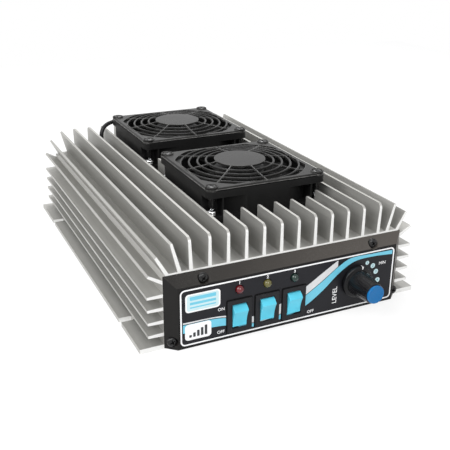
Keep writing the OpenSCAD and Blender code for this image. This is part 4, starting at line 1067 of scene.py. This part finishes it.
def print_plates():
    """Two bare plates, with stripes on the upper and rising bars on the lower."""
    plate_lift, face_lift, mark_lift = 0.08, 0.1, 0.12
    upper, lower = (-56.3, 27.9), (-59.2, 10.3)
    print_on("plate_upper", [rounded(20.6, 11, 2, upper)], "white", plate_lift)
    print_on("plate_upper_face", [rounded(18.8, 9.4, 1.4, upper)], "pale", face_lift)
    for i, (z, high) in enumerate(((30.6, 2.2), (27.6, 1.5), (25.2, 0.8))):
        stripe = rounded(15.4, high, 0.35, (upper[0], z))
        print_on(f"plate_stripe_{i + 1}", [stripe], "cyan", mark_lift)
    print_on("plate_lower", [rounded(15.6, 9.8, 2, lower)], "white", plate_lift)
    bars_left, bars_low, pitch = -63.8, 7, 2.3
    for i in range(5):
        high = 1.6 + 1.1 * i
        bar = rounded(1.5, high, 0.3, (bars_left + pitch * i, bars_low + high / 2))
        print_on(f"plate_bar_{i + 1}", [bar], "dark", mark_lift)


def print_switch_marks():
    """Numbers under the lamps, frames round the switches, and their plain words."""
    for i, x in enumerate(SWITCH_XS.values()):
        print_words(f"lamp_number_{i + 1}", str(i + 1), (x, 34.1), 1.8, bold=0.08)
        # A thin black ring on the overlay round each switch darkens the line at each bezel's edge.
        print_on(f"switch_outline_{i + 1}", [
            rounded(16.2, 21.4, 1, (x, SWITCH_Z)), rounded(14.8, 19.8, 0.7, (x, SWITCH_Z))],
            "black", 0.06)
    print_words("switch_on", "ON", (-45.4, 20.2), 1.9)
    print_words("switch_off", "OFF", (-45.6, 6.0), 1.9)
    print_words("switch_off_right", "OFF", (12.2, 5.6), 1.9)


def print_dial_marks():
    """The dial's plain words, and four dots that grow, with a number on each."""
    print_words("dial_level", "LEVEL", (28.6, 12.7), 3.1, turn=90)
    print_words("dial_minimum", "MIN", (61.3, 27.4), 2.0)
    over_the_dot = Matrix.Translation((0, -0.06 * MM, 0))
    dots = [((50.3, 29.5), 1.3), ((54.5, 26.8), 1.6), ((57.1, 22.5), 1.65), ((58.8, 16.5), 1.7)]
    for i, (spot, radius) in enumerate(dots):
        print_on(f"dial_dot_{i + 1}", [circle(spot, radius)], "pale", 0.09)
        number = print_words(f"dial_number_{i + 1}", str(i + 1), spot, 1.7, "teal")
        number.data.transform(over_the_dot)


# ---- Build ----

make_camera()
make_lead()
make_screws()
for where in FAN_YS:
    make_guard(where)
    make_rotor(where)
make_knob()
make_sockets()
print_ribbon()
print_plates()
print_switch_marks()
print_dial_marks()

SOFTENED = [
    # solid, body, finish, edge rounding in millimetres
    ("heatsink", "chassis", "extruded_aluminium", 0.18),
    ("front_panel", "chassis", "panel_black", 0.35),
    ("front_label", "chassis", "overlay_black", 0.08),
    ("rear_panel", "chassis", "sheet_aluminium", 0.2),
    ("lamp_red", "chassis", "lamp_red", 0),
    ("lamp_yellow", "chassis", "lamp_yellow", 0),
    ("lamp_green", "chassis", "lamp_green", 0),
    ("switch_body_left", "chassis", "switch_black", 0.3),
    ("switch_body_middle", "chassis", "switch_black", 0.3),
    ("switch_body_right", "chassis", "switch_black", 0.3),
    ("rocker_left", "left_rocker", "rocker_blue", 0.45),
    ("rocker_middle", "middle_rocker", "rocker_blue", 0.45),
    ("rocker_right", "right_rocker", "rocker_blue", 0.45),
    ("fan_frame_front", "chassis", "fan_black", 0.3),
    ("fan_frame_rear", "chassis", "fan_black", 0.3),
    ("fan_washers", "chassis", "bright_screw", 0.15),
    ("cover_screws_set", "chassis", "bright_screw", 0.08),
    ("socket_insulators", "chassis", "insulator_cream", 0.2),
    ("socket_contacts", "chassis", "contact_brass", 0.15),
    ("supply_bush", "chassis", "rubber_black", 0.4),
    ("lead_grommet", "chassis", "rubber_black", 0.3),
]
for solid, body, finish, width in SOFTENED:
    piece = soften(solid, width)
    if solid.startswith("fan_frame"):
        close_left_wall(piece, FAN_YS[solid.split("_")[-1]])
    fit(piece, body, finish, solid)

# The bottom cover and what lies inside keep their solids and get their finish
for row in frame["record"]["subparts"]:
    for material_slot in nodes[row["node"]].material_slots:
        material_slot.material = FINISHES[row["material_slot"]]


# ---- Floor, light and background ----

def make_floor():
    """A matte floor; where the camera sees it, it glows to meet the white background."""
    side, glow_strength, glow_share = 1.5, 1.05, 0.7
    deselect()
    bpy.ops.mesh.primitive_plane_add(size=side)
    floor = bpy.context.active_object
    floor.name = "floor"
    material = bpy.data.materials.new("floor_white")
    material.use_nodes = True
    bench = Bench(material.node_tree)
    bench.tree.nodes.clear()
    out = bench.add("ShaderNodeOutputMaterial")
    matte = bench.add("ShaderNodeBsdfDiffuse", {"Color": (0.92, 0.92, 0.92, 1)})
    glow = bench.add("ShaderNodeEmission", {"Color": (1, 1, 1, 1), "Strength": glow_strength})
    share = bench.math("MULTIPLY", background_ray(bench), glow_share)
    blend = bench.add("ShaderNodeMixShader", {0: share, 1: matte.outputs[0], 2: glow.outputs[0]})
    bench.tree.links.new(blend.outputs[0], out.inputs["Surface"])
    floor.data.materials.append(material)


def background_ray(bench):
    """1 for rays that see the background directly, in a mirror or through glass."""
    path = bench.add("ShaderNodeLightPath").outputs
    seen = bench.math("MAXIMUM", path["Is Camera Ray"], path["Is Glossy Ray"])
    return bench.math("MAXIMUM", seen, path["Is Transmission Ray"])


def make_world():
    """Soft light from all round, and a white background."""
    world = bpy.data.worlds.new("studio")
    scene.world = world
    world.use_nodes = True
    bench = Bench(world.node_tree)
    bench.tree.nodes.clear()
    out = bench.add("ShaderNodeOutputWorld")
    soft = bench.add("ShaderNodeBackground", {"Color": (1, 1, 1, 1), "Strength": 0.5})
    white = bench.add("ShaderNodeBackground", {"Color": (1, 1, 1, 1), "Strength": 1.0})
    blend = bench.add("ShaderNodeMixShader", {
        0: background_ray(bench), 1: soft.outputs[0], 2: white.outputs[0]})
    bench.tree.links.new(blend.outputs[0], out.inputs["Surface"])


def lamp(name, spot, aim, size, power):
    """A square softbox at the spot, turned to the aim."""
    light = bpy.data.lights.new(name, "AREA")
    light.shape = "SQUARE"
    light.size = size
    light.energy = power
    holder = bpy.data.objects.new(name, light)
    scene.collection.objects.link(holder)
    holder.location = spot
    holder.rotation_mode = "QUATERNION"
    holder.rotation_quaternion = (Vector(aim) - Vector(spot)).to_track_quat("-Z", "Y")


make_floor()
make_world()
lamp("softbox_front", (-0.15, -1.1, 0.75), (0, -0.05, 0.03), size=0.7, power=8.5)
lamp("softbox_top", (0.1, 0.1, 1.3), (0, 0, 0.03), size=0.9, power=1.5)
lamp("softbox_left", (-0.9, -0.2, 0.75), (0, 0, 0.03), size=0.8, power=12)
lamp("softbox_back", (0.35, 0.8, 0.95), (0, 0, 0.05), size=0.3, power=4)

scene.view_settings.view_transform = "Standard"
